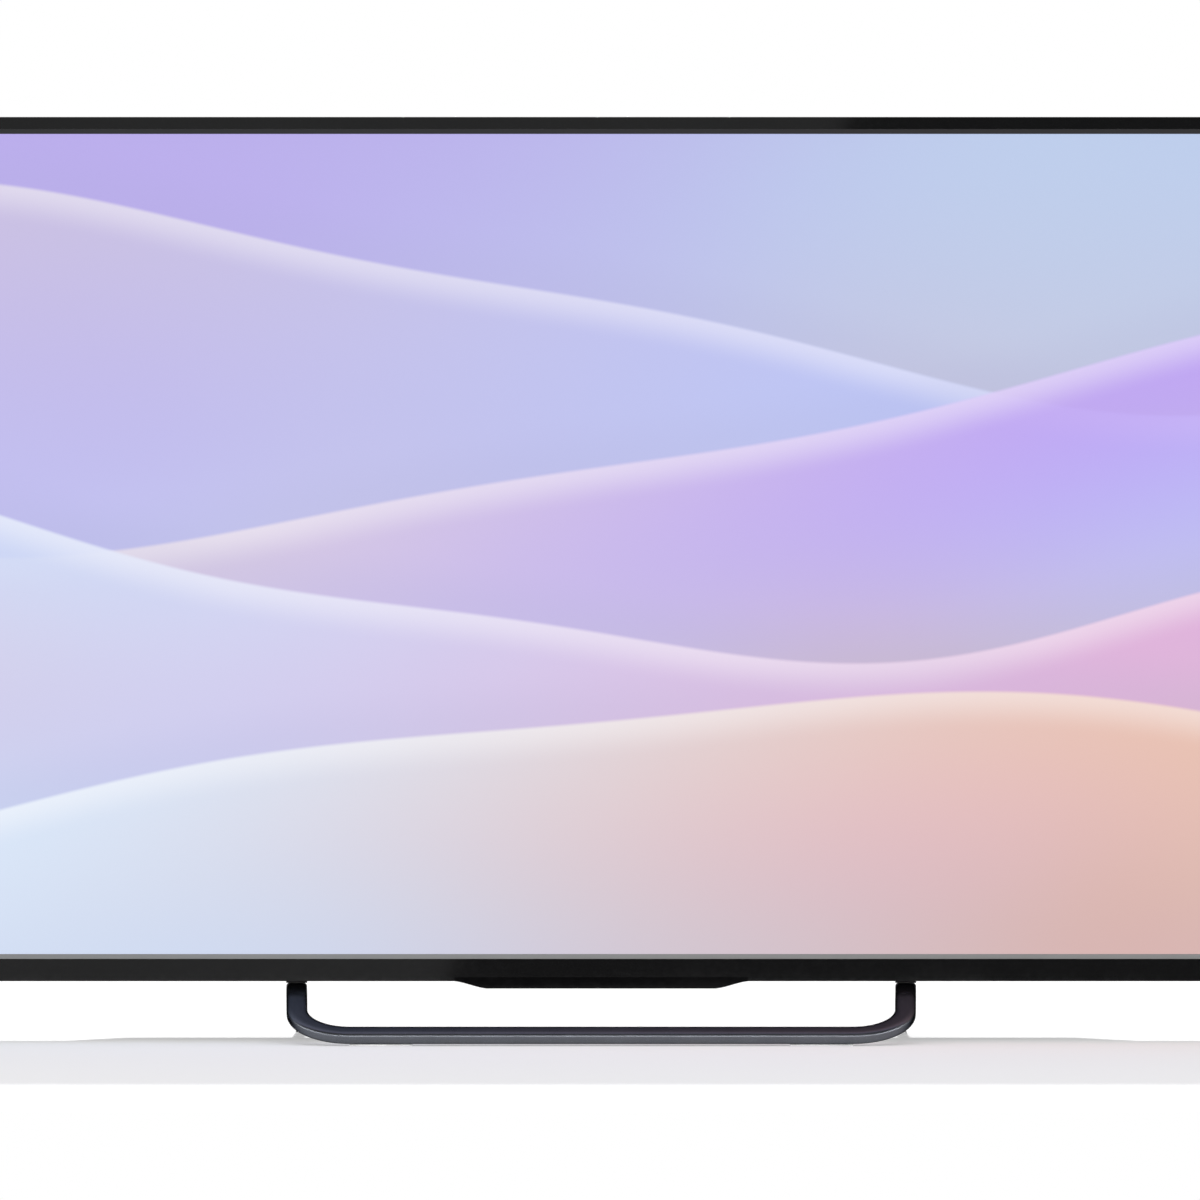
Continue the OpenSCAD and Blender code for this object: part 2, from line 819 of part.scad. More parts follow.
// Two-pin inlet with a figure-eight mouth, in the left bay
module mains_inlet() color("black")
    mirror([1, 0, 0]) {
        difference() {
            socket_body(mains_size, mains_z);
            slab(
                [socket_x - 15, socket_x + past],
                [mains_d - mains_half, mains_d + mains_half],
                [mains_z - mains_half, mains_z + mains_half]
            );
            for (s = [-1, 1])
                cross_rod([socket_x - 15, socket_x + past], mains_d, mains_z + s * mains_half, mains_half);
        }
        for (s = [-1, 1])
            cross_rod([socket_x - 16, socket_x - 4], mains_d, mains_z + s * mains_half, 1.2);
    }

module board_screws() color("silver")
    for (p = all_board_holes) {
        rod(p[0], p[1], [d_parts, d_parts + 1.8], 2.6);
        rod(p[0], p[1], [d_board - 6, d_parts], board_screw_r);
    }

function key_at(i) = key_z + i * key_pitch;

// Board that is staked to the cover's two studs
module key_board() color("darkgreen")
    difference() {
        slab(
            [key_x - key_board_half, key_x + key_board_half],
            [key_switch_d - key_board_t, key_switch_d],
            key_board_z
        );
        for (z = stake_z)
            rod(key_x, z, [key_switch_d - key_board_t - past, key_switch_d + past], stake_r + screw_fit);
    }

module key_switches() color("dimgray")
    for (i = [0:key_count - 1]) {
        slab(
            [key_x - switch_half, key_x + switch_half],
            [key_switch_d, switch_top - switch_h / 4],
            [key_at(i) - switch_half, key_at(i) + switch_half]
        );
        rod(key_x, key_at(i), [switch_top - switch_h / 3, switch_top], plunger_r);
    }

// A key cap with a flange behind the cover and a short stem over its switch
module key(i) color([0.08, 0.08, 0.09]) {
    z = key_at(i);
    flange_w = key_w / 8;
    slab(
        [key_x - key_w / 2, key_x + key_w / 2],
        [d_thin_in - key_flange, d_thin + key_proud],
        [z - key_h / 2, z + key_h / 2]
    );
    slab(
        [key_x - key_w / 2 - flange_w, key_x + key_w / 2 + flange_w],
        [d_thin_in - key_flange, d_thin_in],
        [z - key_h / 2 - flange_w, z + key_h / 2 + flange_w]
    );
    rod(key_x, z, [d_thin_in - key_flange - key_stem, d_thin_in - key_flange], plunger_r);
}

// Speaker enclosure on the right, with a hole in its floor for the driver
module speaker_box() color([0.12, 0.12, 0.13])
    difference() {
        slab(
            [speaker_x - speaker_l, speaker_x],
            [speaker_d0, speaker_d0 + speaker_d],
            [speaker_z0, speaker_z0 + speaker_h]
        );
        slab(
            [speaker_x - speaker_l + speaker_t, speaker_x - speaker_t],
            [speaker_d0 + speaker_t, speaker_d0 + speaker_d - speaker_t],
            [speaker_z0 + speaker_t, speaker_z0 + speaker_h - speaker_t]
        );
        translate([driver_x, driver_y, speaker_z0 - past])
            cylinder(r = driver_in + driver_wall + fit, h = speaker_t + 2 * past);
    }

// Basket and magnet, hung from a flange under the enclosure
module speaker_driver() {
    out = driver_in + driver_wall;
    color("dimgray")
        translate([driver_x, driver_y, speaker_z0])
            rotate_extrude()
                polygon([
                    [driver_in, -driver_flange_t],
                    [out + driver_flange, -driver_flange_t],
                    [out + driver_flange, 0],
                    [out, 0],
                    [out, driver_basket_h],
                    [driver_in * 0.7, driver_basket_h],
                    [driver_in * 0.7, driver_basket_h + magnet_h],
                    [0, driver_basket_h + magnet_h],
                    [0, driver_basket_h - driver_wall],
                    [driver_in, driver_basket_h - driver_wall]
                ]);
}

// Shallow cone with a dust cap, which faces down
module speaker_cone() {
    paper = 0.6;
    rise = driver_basket_h - driver_wall - cone_travel - 3;
    color([0.2, 0.2, 0.2])
        translate([driver_x, driver_y, speaker_z0])
            rotate_extrude()
                polygon([
                    [0, rise / 2],
                    [cone_r / 3, rise / 2 + 1],
                    [cone_r - 1, 0],
                    [cone_r, 0],
                    [cone_r, paper],
                    [cone_r / 3, rise],
                    [cone_r / 3, rise + 1.5],
                    [0, rise + 1.5]
                ]);
}

// Rubber blocks that carry the enclosures on the cover's floor
module speaker_mounts() {
    d = speaker_d0 + speaker_d / 2;
    color("black")
        for (s = [0, 1], x = [driver_x - 34, speaker_x - mount_w - 2])
            mirror([s, 0, 0])
                slab([x, x + mount_w], [d - mount_w / 2, d + mount_w / 2], [under_z + cover_t, speaker_z0]);
}

lead_d = speaker_d0 + 8;
lead_r = 1.5;

// Twin leads from the main board's lower edge to the enclosures
module speaker_leads() {
    top = speaker_z0 + speaker_h;
    run_z = (top + board_z) / 2;
    bend = 6;
    near = main_x[0] + 20;
    far = -speaker_x + 60;
    color("crimson") {
        translate([near + 40, front_y + lead_d, top]) cylinder(r = lead_r, h = board_z - top);
        translate([near, front_y + lead_d, run_z + bend]) cylinder(r = lead_r, h = board_z - run_z - bend);
        translate([near - bend, front_y + lead_d, run_z + bend]) rotate([90, 0, 0]) rotate([0, 0, -90])
            rotate_extrude(angle = 90) translate([bend, 0]) circle(r = lead_r);
        cross_rod([far + bend, near - bend], lead_d, run_z, lead_r);
        translate([far + bend, front_y + lead_d, run_z - bend]) rotate([90, 0, 0]) rotate([0, 0, 90])
            rotate_extrude(angle = 90) translate([bend, 0]) circle(r = lead_r);
        translate([far, front_y + lead_d, top]) cylinder(r = lead_r, h = run_z - bend - top);
        slab(
            [near - 6, near + 46],
            [d_parts, lead_d + 5],
            [board_z, board_z + 8]
        );
    }
}

// Wall mount strip on the right, with two threaded posts that come flush with the cover
module vesa_bracket() color("lightgray") {
    strip_t = 1.5;
    x = vesa_w / 2;
    difference() {
        union() {
            slab(
                [x - post_r - 6, x + post_r + 4],
                [d_tray, d_tray + strip_t],
                [vesa_z - vesa_h / 2 - 30, vesa_z + vesa_h / 2 + 30]
            );
            for (s = [-1, 1]) rod(x, vesa_z + s * vesa_h / 2, [d_tray + strip_t / 2, d_back], post_r);
        }
        for (s = [-1, 1])
            rod(x, vesa_z + s * vesa_h / 2, [d_back - vesa_bore_l, d_back + past], vesa_bore_r);
    }
}

bracket_holes = [
    for (s = [-1, 1], x = [-1, 1], z = [0, 1])
        [s * leg_x + x * (bracket_w / 2 - 8), under_z + cover_t + bracket_h - 10 - 24 * z]
];
bracket_d0 = rim_depth + past;
bracket_d1 = stand_depth + stand_screw_pitch / 2 + 6;

// Stand bracket on the right: a plate on the tray and a foot over the cover's floor
module stand_bracket() color("lightgray")
    difference() {
        union() {
            slab(
                [leg_x - bracket_w / 2, leg_x + bracket_w / 2],
                [d_tray, d_tray + bracket_t],
                [under_z + cover_t, under_z + cover_t + bracket_h]
            );
            slab(
                [leg_x - bracket_w / 2, leg_x + bracket_w / 2],
                [bracket_d0, bracket_d1],
                [under_z + cover_t, under_z + cover_t + bracket_t]
            );
        }
        stand_screw_places() translate([0, 0, under_z]) 
            cylinder(r = stand_screw_r + screw_fit, h = cover_t + bracket_t + past);
        for (p = bracket_holes)
            rod(p[0], p[1], [d_tray - past, d_tray + bracket_t + past], stand_screw_r + screw_fit);
    }

module bracket_screws() color("silver")
    for (p = bracket_holes) {
        rod(p[0], p[1], [d_tray + bracket_t, d_tray + bracket_t + 2], stand_head_r);
        rod(p[0], p[1], [d_floor, d_tray + bracket_t], stand_screw_r);
    }

// The cover's full form, shrunk by a wall for its inside
module cover_form(shrink) {
    w = outer_w - 2 * cover_inset - 2 * shrink;
    h = outer_h - 2 * cover_inset - 2 * shrink;
    z = under_z + shrink;
    d_edge = rim_depth + cover_edge_d;
    d_front = shrink > 0 ? rim_depth - past : rim_depth;
    outline([d_front, d_edge]) translate([0, z]) cut_corners(w, h, bezel_r - cover_inset);
    drawn_in(w, h, bezel_r - cover_inset, [d_edge, d_thin - shrink], z, cover_taper);
    lead_in = 4;
    grow = lead_in * bulge_slope / bulge_d;
    drawn_in(
        bulge_w + 2 * grow - 2 * shrink,
        bulge_h + grow - 2 * shrink,
        bezel_r,
        [d_thin - lead_in, d_back - shrink],
        z,
        bulge_slope + grow
    );
}

// The two socket bays, cut in from the housing's sides
module bay_cuts(wall) {
    x = [bay_x - wall, bulge_w / 2 + bay_cut];
    slab(x, [d_thin - wall, d_back + past], [main_z[0] - 2 - wall, main_z[1] + 2 + wall]);
    mirror([1, 0, 0])
        slab(x, [d_thin - wall, d_back + past], [board_z - 2 - wall, board_z + mains_bay_h + 2 + wall]);
}

// A mouth in the bay wall round one socket body
module mouth(size, z)
    slab(
        [bay_x - cover_t - past, bay_x + past],
        [d_parts - fit, d_parts + size[2] + fit],
        [z - size[1] / 2 - fit, z + size[1] / 2 + fit]
    );

module socket_mouths() {
    for (z = hdmi_z) mouth(hdmi_size, z);
    for (z = usb_z) mouth(usb_size, z);
    mouth(lan_size, lan_z);
    mirror([1, 0, 0]) mouth(mains_size, mains_z);
    for (z = jack_z) cross_rod([bay_x - cover_t - past, bay_x + past], jack_d, z, jack_collar_r + fit);
    cross_rod([bay_x - cover_t - past, bay_x + past], antenna_d, antenna_z, antenna_r + fit);
}

vent_top = under_z + bulge_h;

// Vent slots: a row in the housing's sloping top, a row low on its back, and slots under the speakers
module vent_slots() {
    count = floor((bulge_w - 2 * bulge_slope - 40) / 2 / vent_pitch);
    slope_in = 6;
    low_z = under_z + 22;
    for (i = [-count:count]) {
        x = [i * vent_pitch - vent_w / 2, i * vent_pitch + vent_w / 2];
        slab(x, [d_thin + past, d_back + past], [vent_top - bulge_slope + slope_in, vent_top - slope_in]);
        slab(x, [d_back - cover_t - past, d_back + past], [low_z, low_z + vent_l]);
    }
    slot_pitch = 2 * vent_w;
    d = speaker_d0 + speaker_d / 2;
    for (s = [-1, 1], i = [-2:2])
        slab(
            [s * driver_x + i * slot_pitch - vent_w / 2, s * driver_x + i * slot_pitch + vent_w / 2],
            [d - cone_r, d + cone_r],
            [under_z - past, under_z + cover_t + past]
        );
}

module rear_cover() color([0.1, 0.1, 0.11])
    difference() {
        union() {
            difference() {
                cover_form(0);
                bay_cuts(0);
                difference() {
                    cover_form(cover_t);
                    bay_cuts(cover_t);
                }
                vent_slots();
                socket_mouths();
                for (a = [-1, 1], b = [-1, 1])
                    rod(
                        a * vesa_w / 2,
                        vesa_z + b * vesa_h / 2,
                        [d_back - cover_t - past, d_back + past],
                        post_r + fit
                    );
                for (i = [0:key_count - 1])
                    slab(
                        [key_x - key_w / 2 - fit, key_x + key_w / 2 + fit],
                        [d_thin_in - past, d_thin + past],
                        [key_at(i) - key_h / 2 - fit, key_at(i) + key_h / 2 + fit]
                    );
            }
            for (p = cover_screws) rod(p[0], p[1], [d_tray, d_thin], boss_r);
            for (z = stake_z) {
                rod(key_x, z, [key_switch_d, d_thin_in + past], stud_r);
                rod(key_x, z, [key_switch_d - key_board_t, key_switch_d + past], stake_r);
            }
        }
        for (p = cover_screws) {
            rod(p[0], p[1], [cover_screw_seat, d_thin + past], cover_screw_head_r + 2 * fit);
            rod(p[0], p[1], [d_tray - past, d_thin], cover_screw_r + screw_fit);
        }
        for (s = [0, 1])
            mirror([s, 0, 0]) stand_screw_places()
                translate([0, 0, under_z - past]) cylinder(r = stand_screw_r + fit, h = cover_t + 2 * past);
    }

module rear_cover_screws() color("dimgray")
    for (p = cover_screws) {
        rod(p[0], p[1], [cover_screw_seat, cover_screw_seat + cover_screw_head], cover_screw_head_r);
        rod(p[0], p[1], [d_floor, cover_screw_seat], cover_screw_r);
    }

// The flat bar's section, with round long edges
module bar_section(w, t) {
    square([w - 2 * bar_r, t], center = true);
    square([w, t - 2 * bar_r], center = true);
    for (x = [-1, 1], y = [-1, 1])
        translate([x * (w / 2 - bar_r), y * (t / 2 - bar_r)]) circle(r = bar_r, $fn = 32);
}

// The plane of the front loop: across, up the slope and square to it
module on_slope() translate([0, bar_y, bar_z]) rotate([front_angle, 0, 0]) children();

// The frame of the right seat, its saddle and its screws, turned with the leg's lean
module on_seat()
    translate([seat_x, seat_y, 0]) rotate([0, 0, -seat_turn]) translate([-leg_x, -seat_y, 0]) children();

// The plane of a rear leg: across, down the leg and square to it
module on_rear() translate([rear_x, rear_y, seat_z - rear_drop]) rotate([-rear_angle, 0, 0]) children();

// A straight run along +Y
module leg_run(l, w, t) rotate([-90, 0, 0]) linear_extrude(l) bar_section(w, t);

// A bend about a line across, by its radius, first angle and turn
module leg_bend(r, start, turn, w, t)
    rotate([90, 0, 90]) rotate([0, 0, start])
        rotate_extrude(angle = turn) translate([r, 0]) bar_section(t, w);

// A square block round the end of a bar
module end_block(x, y, z, w, t)
    translate([x - w / 2 - seat_step, y[0], z - t / 2 - seat_step])
        cube([w + 2 * seat_step, y[1] - y[0], t + 2 * seat_step]);

module front_bar()
    on_slope()
        translate([corner_r - leg_x, 0, 0]) rotate([0, 90, 0])
            linear_extrude(2 * (leg_x - corner_r)) bar_section(bar_t, bar_w);

// Two stand screws' places under the right leg
module stand_screw_places()
    on_seat() for (s = [-1, 1]) translate([leg_x, s * stand_screw_pitch / 2, 0]) children();

// The right half's leg, from the front corner to the rear foot
module leg() {
    on_slope() {
        translate([leg_x - corner_r, corner_r, 0]) rotate([0, 0, -90])
            rotate_extrude(angle = 90 - leg_lean) translate([corner_r, 0]) bar_section(bar_w, bar_t);
        translate([corner_x, corner_v, 0]) rotate([0, 0, -leg_lean]) {
            leg_run(lean_l, bar_w, bar_t);
            translate([0, -joint_l / 2, 0]) leg_run(joint_l, bar_w + 2 * joint_step, bar_t + 2 * joint_step);
            translate([0, lean_l, -front_bend_r]) leg_bend(front_bend_r, 90, -front_angle, bar_w, bar_t);
        }
    }
    on_seat() end_block(leg_x, [-seat_l / 2, seat_l / 2], seat_z, bar_w, bar_t);
    on_rear() {
        translate([0, 0, -rear_bend_r]) leg_bend(rear_bend_r, 90, rear_angle, rear_w, rear_t);
        leg_run(rear_l, rear_w, rear_t);
        translate([0, rear_l, foot_bend_r]) leg_bend(foot_bend_r, 270, rear_angle, rear_w, rear_t);
    }
    end_block(rear_x, [foot_y - embed, reach], foot_z, rear_w, rear_t);
}

module stand_frame() color([0.22, 0.24, 0.26])
    difference() {
        union() {
            front_bar();
            for (s = [0, 1]) mirror([s, 0, 0]) leg();
        }
        for (s = [0, 1])
            mirror([s, 0, 0]) stand_screw_places()
                translate([0, 0, seat_z - seat_t]) cylinder(r = stand_screw_r + fit, h = 2 * seat_t);
    }

// Blocks that carry the set on the two seats, clear of the bezel's rim
module stand_saddles() {
    y0 = front_y + rim_depth + 2 * fit;
    color("black")
        for (s = [0, 1])
            mirror([s, 0, 0])
                difference() {
                    on_seat() translate([leg_x - bar_w / 2, y0, under_z - saddle_t])
                        cube([bar_w, seat_l / 2 - y0, saddle_t]);
                    stand_screw_places() translate([0, 0, under_z - saddle_t - past])
                        cylinder(r = stand_screw_r + fit, h = saddle_t + 2 * past);
                }
}

module stand_screws() color("silver")
    for (s = [0, 1])
        mirror([s, 0, 0]) stand_screw_places() {
            translate([0, 0, seat_z - seat_t / 2 - stand_head_h])
                cylinder(r = stand_head_r, h = stand_head_h);
            translate([0, 0, seat_z - seat_t / 2])
                cylinder(r = stand_screw_r, h = seat_t + saddle_t + cover_t + bracket_t - screw_fit);
        }

// Clear silicone pads: two under the front bar and one under each rear foot
module foot_pads() {
    low_y = bar_y - flat_v * cos(front_angle) + flat_n * sin(front_angle);
    pad_w = 6;
    color([0.6, 0.6, 0.6])
        for (s = [-1, 1]) {
            difference() {
                translate([s * (leg_x - corner_r - pad_l / 2) - pad_l / 2, low_y, 0])
                    cube([pad_l, pad_w, pad_t + pad_w * tan(front_angle)]);
                front_bar();
            }
            translate([s * rear_x - rear_w / 2, foot_y, 0]) cube([rear_w, foot_l - bar_r, pad_t]);
        }
}

front_bezel();
lower_trim_strip();
bezel_gasket();
ir_lens();
ir_board();
lcd_panel();
mid_frame();
prism_sheet();
diffuser_sheet();
diffuser_plate();
reflector_sheet();
led_strips();
led_lenses();
backlight_tray();
source_boards();
tcon_board();
signal_ribbon();
main_board();
main_heatsink();
tuner_can();
antenna_socket();
hdmi_sockets();
usb_sockets();
lan_socket();
audio_jacks();
power_board();
power_transformers();
power_capacitors();
power_heatsink();
power_harness();
mains_inlet();
board_screws();
key_board();
key_switches();
key(6);  // key_power
key(5);  // key_source
key(4);  // key_menu
key(3);  // key_channel_up
key(2);  // key_channel_down
key(1);  // key_volume_up
key(0);  // key_volume_down
mirror([1, 0, 0]) speaker_box();  // speaker_box_left
speaker_box();  // speaker_box_right
mirror([1, 0, 0]) speaker_driver();  // speaker_driver_left
speaker_driver();  // speaker_driver_right
mirror([1, 0, 0]) speaker_cone();  // speaker_cone_left
speaker_cone();  // speaker_cone_right
speaker_mounts();
speaker_leads();
mirror([1, 0, 0]) vesa_bracket();  // vesa_bracket_left
vesa_bracket();  // vesa_bracket_right
mirror([1, 0, 0]) stand_bracket();  // stand_bracket_left
stand_bracket();  // stand_bracket_right
bracket_screws();
rear_cover();
rear_cover_screws();
stand_frame();
stand_saddles();
stand_screws();
foot_pads();
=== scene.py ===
"""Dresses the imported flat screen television: finishes, small detail, light and a camera."""

import json
import math
from types import SimpleNamespace

import bmesh
import bpy
from mathutils import Matrix, Vector


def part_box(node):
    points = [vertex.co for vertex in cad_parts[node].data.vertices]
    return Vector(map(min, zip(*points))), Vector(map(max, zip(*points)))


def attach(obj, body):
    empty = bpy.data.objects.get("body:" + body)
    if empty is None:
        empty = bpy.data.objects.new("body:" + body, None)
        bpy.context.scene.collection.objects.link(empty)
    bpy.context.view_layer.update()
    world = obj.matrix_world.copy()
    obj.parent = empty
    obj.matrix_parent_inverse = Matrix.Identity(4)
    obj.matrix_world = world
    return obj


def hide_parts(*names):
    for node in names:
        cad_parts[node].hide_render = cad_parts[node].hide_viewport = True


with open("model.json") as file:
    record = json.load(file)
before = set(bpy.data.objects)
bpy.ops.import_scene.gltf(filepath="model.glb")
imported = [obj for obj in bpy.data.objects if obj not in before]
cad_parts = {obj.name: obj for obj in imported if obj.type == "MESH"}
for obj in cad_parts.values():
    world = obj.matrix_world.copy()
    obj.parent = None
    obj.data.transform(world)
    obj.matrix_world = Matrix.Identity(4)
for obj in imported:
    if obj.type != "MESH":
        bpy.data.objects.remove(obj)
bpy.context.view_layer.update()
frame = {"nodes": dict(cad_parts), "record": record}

bl_info = {
    "name": "Flat Screen Television",
    "version": (1, 0, 0),
    "blender": (4, 5, 0),
    "location": "View3D > Sidebar > Television",
    "description": "Dresses a packed flat screen television with finishes, small detail, light and a camera",
    "category": "Object",
}

MM = 0.001
WELD = 0.002 * MM
FLAT = math.radians(0.6)
SHARP = math.radians(32)
KEYS = ["key_" + k for k in ("power", "source", "menu", "channel_up", "channel_down", "volume_up", "volume_down")]


# Settings


def length_setting(name, description, millimetres):
    """A length, given in millimetres."""
    return bpy.props.FloatProperty(name=name, description=description, default=millimetres * MM, unit="LENGTH")


def angle_setting(name, description, degrees):
    """An angle, given in degrees."""
    return bpy.props.FloatProperty(
        name=name, description=description, default=math.radians(degrees), unit="ROTATION", subtype="ANGLE"
    )


def colour_setting(name, description, colour):
    """A colour in linear light."""
    return bpy.props.FloatVectorProperty(name=name, description=description, default=colour, subtype="COLOR")


def light_setting(name, description, strength):
    """A strength of light."""
    return bpy.props.FloatProperty(name=name, description=description, default=strength, min=0.0)


class BezelSettings(bpy.types.PropertyGroup):
    """Front frame, trim strip and sensor lens."""

    edge_round: length_setting("Edge round", "Rounding of the bezel's outer edges", 0.5)
    black: colour_setting("Black", "Body colour of the polished bezel", (0.0026, 0.0027, 0.0029))
    lens_black: colour_setting("Lens black", "Body colour of the smoked lens", (0.0018, 0.0018, 0.0020))
    trim: colour_setting("Trim grey", "Colour of the strip below the picture", (0.196, 0.199, 0.197))


class PictureSettings(bpy.types.PropertyGroup):
    """The lit picture: a soft colour field with layered waves."""

    brightness: light_setting("Brightness", "Strength of the picture's own light", 1.0)
    top_left: colour_setting("Top left", "Colour of the field at the top left", (0.46, 0.38, 0.80))
    top_right: colour_setting("Top right", "Colour of the field at the top right", (0.48, 0.58, 0.80))
    low_left: colour_setting("Low left", "Colour of the field at the lower left", (0.56, 0.66, 0.86))
    low_right: colour_setting("Low right", "Colour of the field at the lower right", (0.64, 0.42, 0.40))


class StandSettings(bpy.types.PropertyGroup):
    """The bent flat bar, by its centre line."""

    leg_x: length_setting("Leg place", "Distance of a front leg from the middle", 195.25)
    bar_width: length_setting("Bar width", "Width of the flat bar", 13.5)
    bar_thick: length_setting("Bar thickness", "Thickness of the bar at its crown", 8.0)
    bar_square: bpy.props.FloatProperty(
        name="Bar squareness", description="How square the bar's section is, 2 being an ellipse", default=4.0, min=2.0
    )
    bar_y: length_setting("Bar place", "Place of the front bar from front to back", -89.97)
    bar_z: length_setting("Bar height", "Height of the front bar's middle", 6.55)
    seat_z: length_setting("Seat height", "Height of the seats' middle", 32.75)
    slope: angle_setting("Slope", "Slope of the front loop", 23.5)
    corner_bend: length_setting("Corner bend", "Middle radius of the front corners", 34.75)
    seat_bend: length_setting("Seat bend", "Radius of the bend from the loop to the seat", 90)
    lean: angle_setting("Lean", "Lean of the legs outward", 2)
    rear_x: length_setting("Rear leg place", "Distance of a rear leg from the middle", 196.75)
    rear_width: length_setting("Rear leg width", "Width of a rear leg", 8)
    rear_thick: length_setting("Rear leg thickness", "Thickness of a rear leg", 6.5)
    rear_slope: angle_setting("Rear slope", "Slope of the rear legs", 33)
    rear_bend: length_setting("Rear bend", "Radius of the bend from a seat to a rear leg", 60)
    foot_bend: length_setting("Foot bend", "Radius of the bend from a rear leg to its foot", 20)
    foot_z: length_setting("Foot height", "Height of the rear feet's middle", 4.45)
    graphite: colour_setting("Graphite", "Colour of the satin paint", (0.142, 0.150, 0.168))


class CoverSettings(bpy.types.PropertyGroup):
    """Rear cover, keys and sockets."""

    edge_round: length_setting("Cover edge round", "Rounding of the rear cover's edges", 0.5)
    key_round: length_setting("Key edge round", "Rounding of the keys' edges", 0.45)
    mark_width: length_setting("Mark width", "Line width of the marks on the keys", 0.55)
    black: colour_setting("Cover black", "Colour of the textured cover", (0.021, 0.021, 0.023))


class StageSettings(bpy.types.PropertyGroup):
    """Floor, light and camera."""

    fill: light_setting("Fill", "Even light from all round", 0.42)
    front_fill: light_setting("Front fill", "Soft light added from the front", 0.45)
    softbox: light_setting("Softbox", "Brightness of the softbox at the front left", 0.3)
    strips: light_setting("Strips", "Brightness of the long strip lights in front", 12.0)
    top_light: light_setting("Top light", "Brightness of the softbox above the front", 0.8)
    back_light: light_setting("Back light", "Strength of the lamp behind the set", 2.6)
    floor: colour_setting("Floor", "Colour of the floor", (0.82, 0.82, 0.82))
    camera_place: bpy.props.FloatVectorProperty(
        name="Camera place",
        description="Where the camera stands",
        default=(-0.00077, -6.026, 0.28445),
        precision=5,
        subtype="TRANSLATION",
    )
    lens: bpy.props.FloatProperty(
        name="Camera lens", description="Focal length in millimetres", default=278.97, min=1.0, unit="CAMERA"
    )


SETTINGS = {
    "tv_bezel": BezelSettings,
    "tv_picture": PictureSettings,
    "tv_stand": StandSettings,
    "tv_cover": CoverSettings,
    "tv_stage": StageSettings,
}


# Node helpers


def put(tree, kind, sockets=None, **settings):
    """Adds a node, sets its attributes, and fills or links its inputs."""
    made = tree.nodes.new(kind)
    for key, value in settings.items():
        setattr(made, key, value)
    for key, value in (sockets or {}).items():
        if isinstance(value, bpy.types.NodeSocket):
            tree.links.new(value, made.inputs[key])
        else:
            made.inputs[key].default_value = value
    return made


def new_group(name, family, inputs, output):
    """A node group with named inputs and one output. Returns the group, its inputs and its end."""
    group = bpy.data.node_groups.new(name, family)
    for label, kind in inputs.items():
        group.interface.new_socket(label, in_out="INPUT", socket_type="NodeSocket" + kind)
    group.interface.new_socket(output[0], in_out="OUTPUT", socket_type="NodeSocket" + output[1])
    return group, put(group, "NodeGroupInput").outputs, put(group, "NodeGroupOutput")


def calc(tree, operation, *values):
    """A Math node's result."""
    return put(tree, "ShaderNodeMath", dict(enumerate(values)), operation=operation).outputs[0]


def eased(tree, value, low, high, to_low=0.0, to_high=1.0, interpolation="SMOOTHSTEP"):
    """A value mapped smoothly from one range to another."""
    return put(
        tree,
        "ShaderNodeMapRange",
        {0: value, 1: low, 2: high, 3: to_low, 4: to_high},
        interpolation_type=interpolation,
    ).outputs[0]


def blend(tree, factor, first, second):
    """Two colours mixed by a factor."""
    return put(tree, "ShaderNodeMix", {0: factor, 6: first, 7: second}, data_type="RGBA").outputs[2]


def shade(colour, by):
    """A colour made lighter or darker, with alpha."""
    return tuple(min(1.0, c * by) for c in colour[:3]) + (1.0,)


# Finishes


def finish(
    name,
    tone,
    spread=0.08,
    rough=0.5,
    rough_spread=0.06,
    patch=30.0,
    grain=900.0,
    bump=0.15,
    depth=0.05 * MM,
    stretch=(1.0, 1.0, 1.0),
    **constants,
):
    """A finish with patches of tone and gloss and a fine grain. Returns the material and the parts of its tree."""
    material = bpy.data.materials.new(name)
    material.use_nodes = True
    tree = material.node_tree
    tree.nodes.clear()
    out = put(tree, "ShaderNodeOutputMaterial")
    skin = put(tree, "ShaderNodeBsdfPrincipled")
    tree.links.new(skin.outputs["BSDF"], out.inputs["Surface"])
    place = put(tree, "ShaderNodeTexCoord").outputs["Object"]
    run = put(tree, "ShaderNodeMapping", {"Vector": place, "Scale": stretch}).outputs["Vector"]
    patches = put(tree, "ShaderNodeTexNoise", {"Vector": run, "Scale": patch, "Detail": 3.0}).outputs["Fac"]
    fine = put(tree, "ShaderNodeTexNoise", {"Vector": run, "Scale": grain, "Detail": 2.0}).outputs["Fac"]
    fine_share, low, high = 0.4, 0.3, 0.7
    mixed = calc(tree, "MULTIPLY_ADD", fine, fine_share, calc(tree, "MULTIPLY", patches, 1 - fine_share))
    colour = blend(tree, eased(tree, mixed, low, high), shade(tone, 1 - spread), shade(tone, 1 + spread))
    gloss = eased(tree, mixed, low, high, rough - rough_spread, rough + rough_spread)
    relief = put(tree, "ShaderNodeBump", {"Strength": bump, "Distance": depth, "Height": fine})
    tree.links.new(colour, skin.inputs["Base Color"])
    tree.links.new(gloss, skin.inputs["Roughness"])
    tree.links.new(relief.outputs["Normal"], skin.inputs["Normal"])
    for key, value in constants.items():
        skin.inputs[key.replace("_", " ")].default_value = value
    return material, SimpleNamespace(tree=tree, skin=skin, place=place, colour=colour, relief=relief, fine=fine)


def polished_black(name, tone, gleam):
    """Polished plastic: deep black with a trace of ripple from the mould."""
    coat = {"patch": 14, "grain": 260, "bump": 0.012, "depth": 0.02 * MM, "IOR": 1.5}
    return finish(name, tone, 0.15, 0.045, 0.018, Specular_IOR_Level=gleam, **coat)[0]


def satin_trim(name, tone):
    """Satin paint on a drawn strip, with lines along its length."""
    return finish(name, tone, 0.07, 0.46, 0.06, patch=60, grain=700, bump=0.12, stretch=(0.04, 1, 1), IOR=1.45)[0]


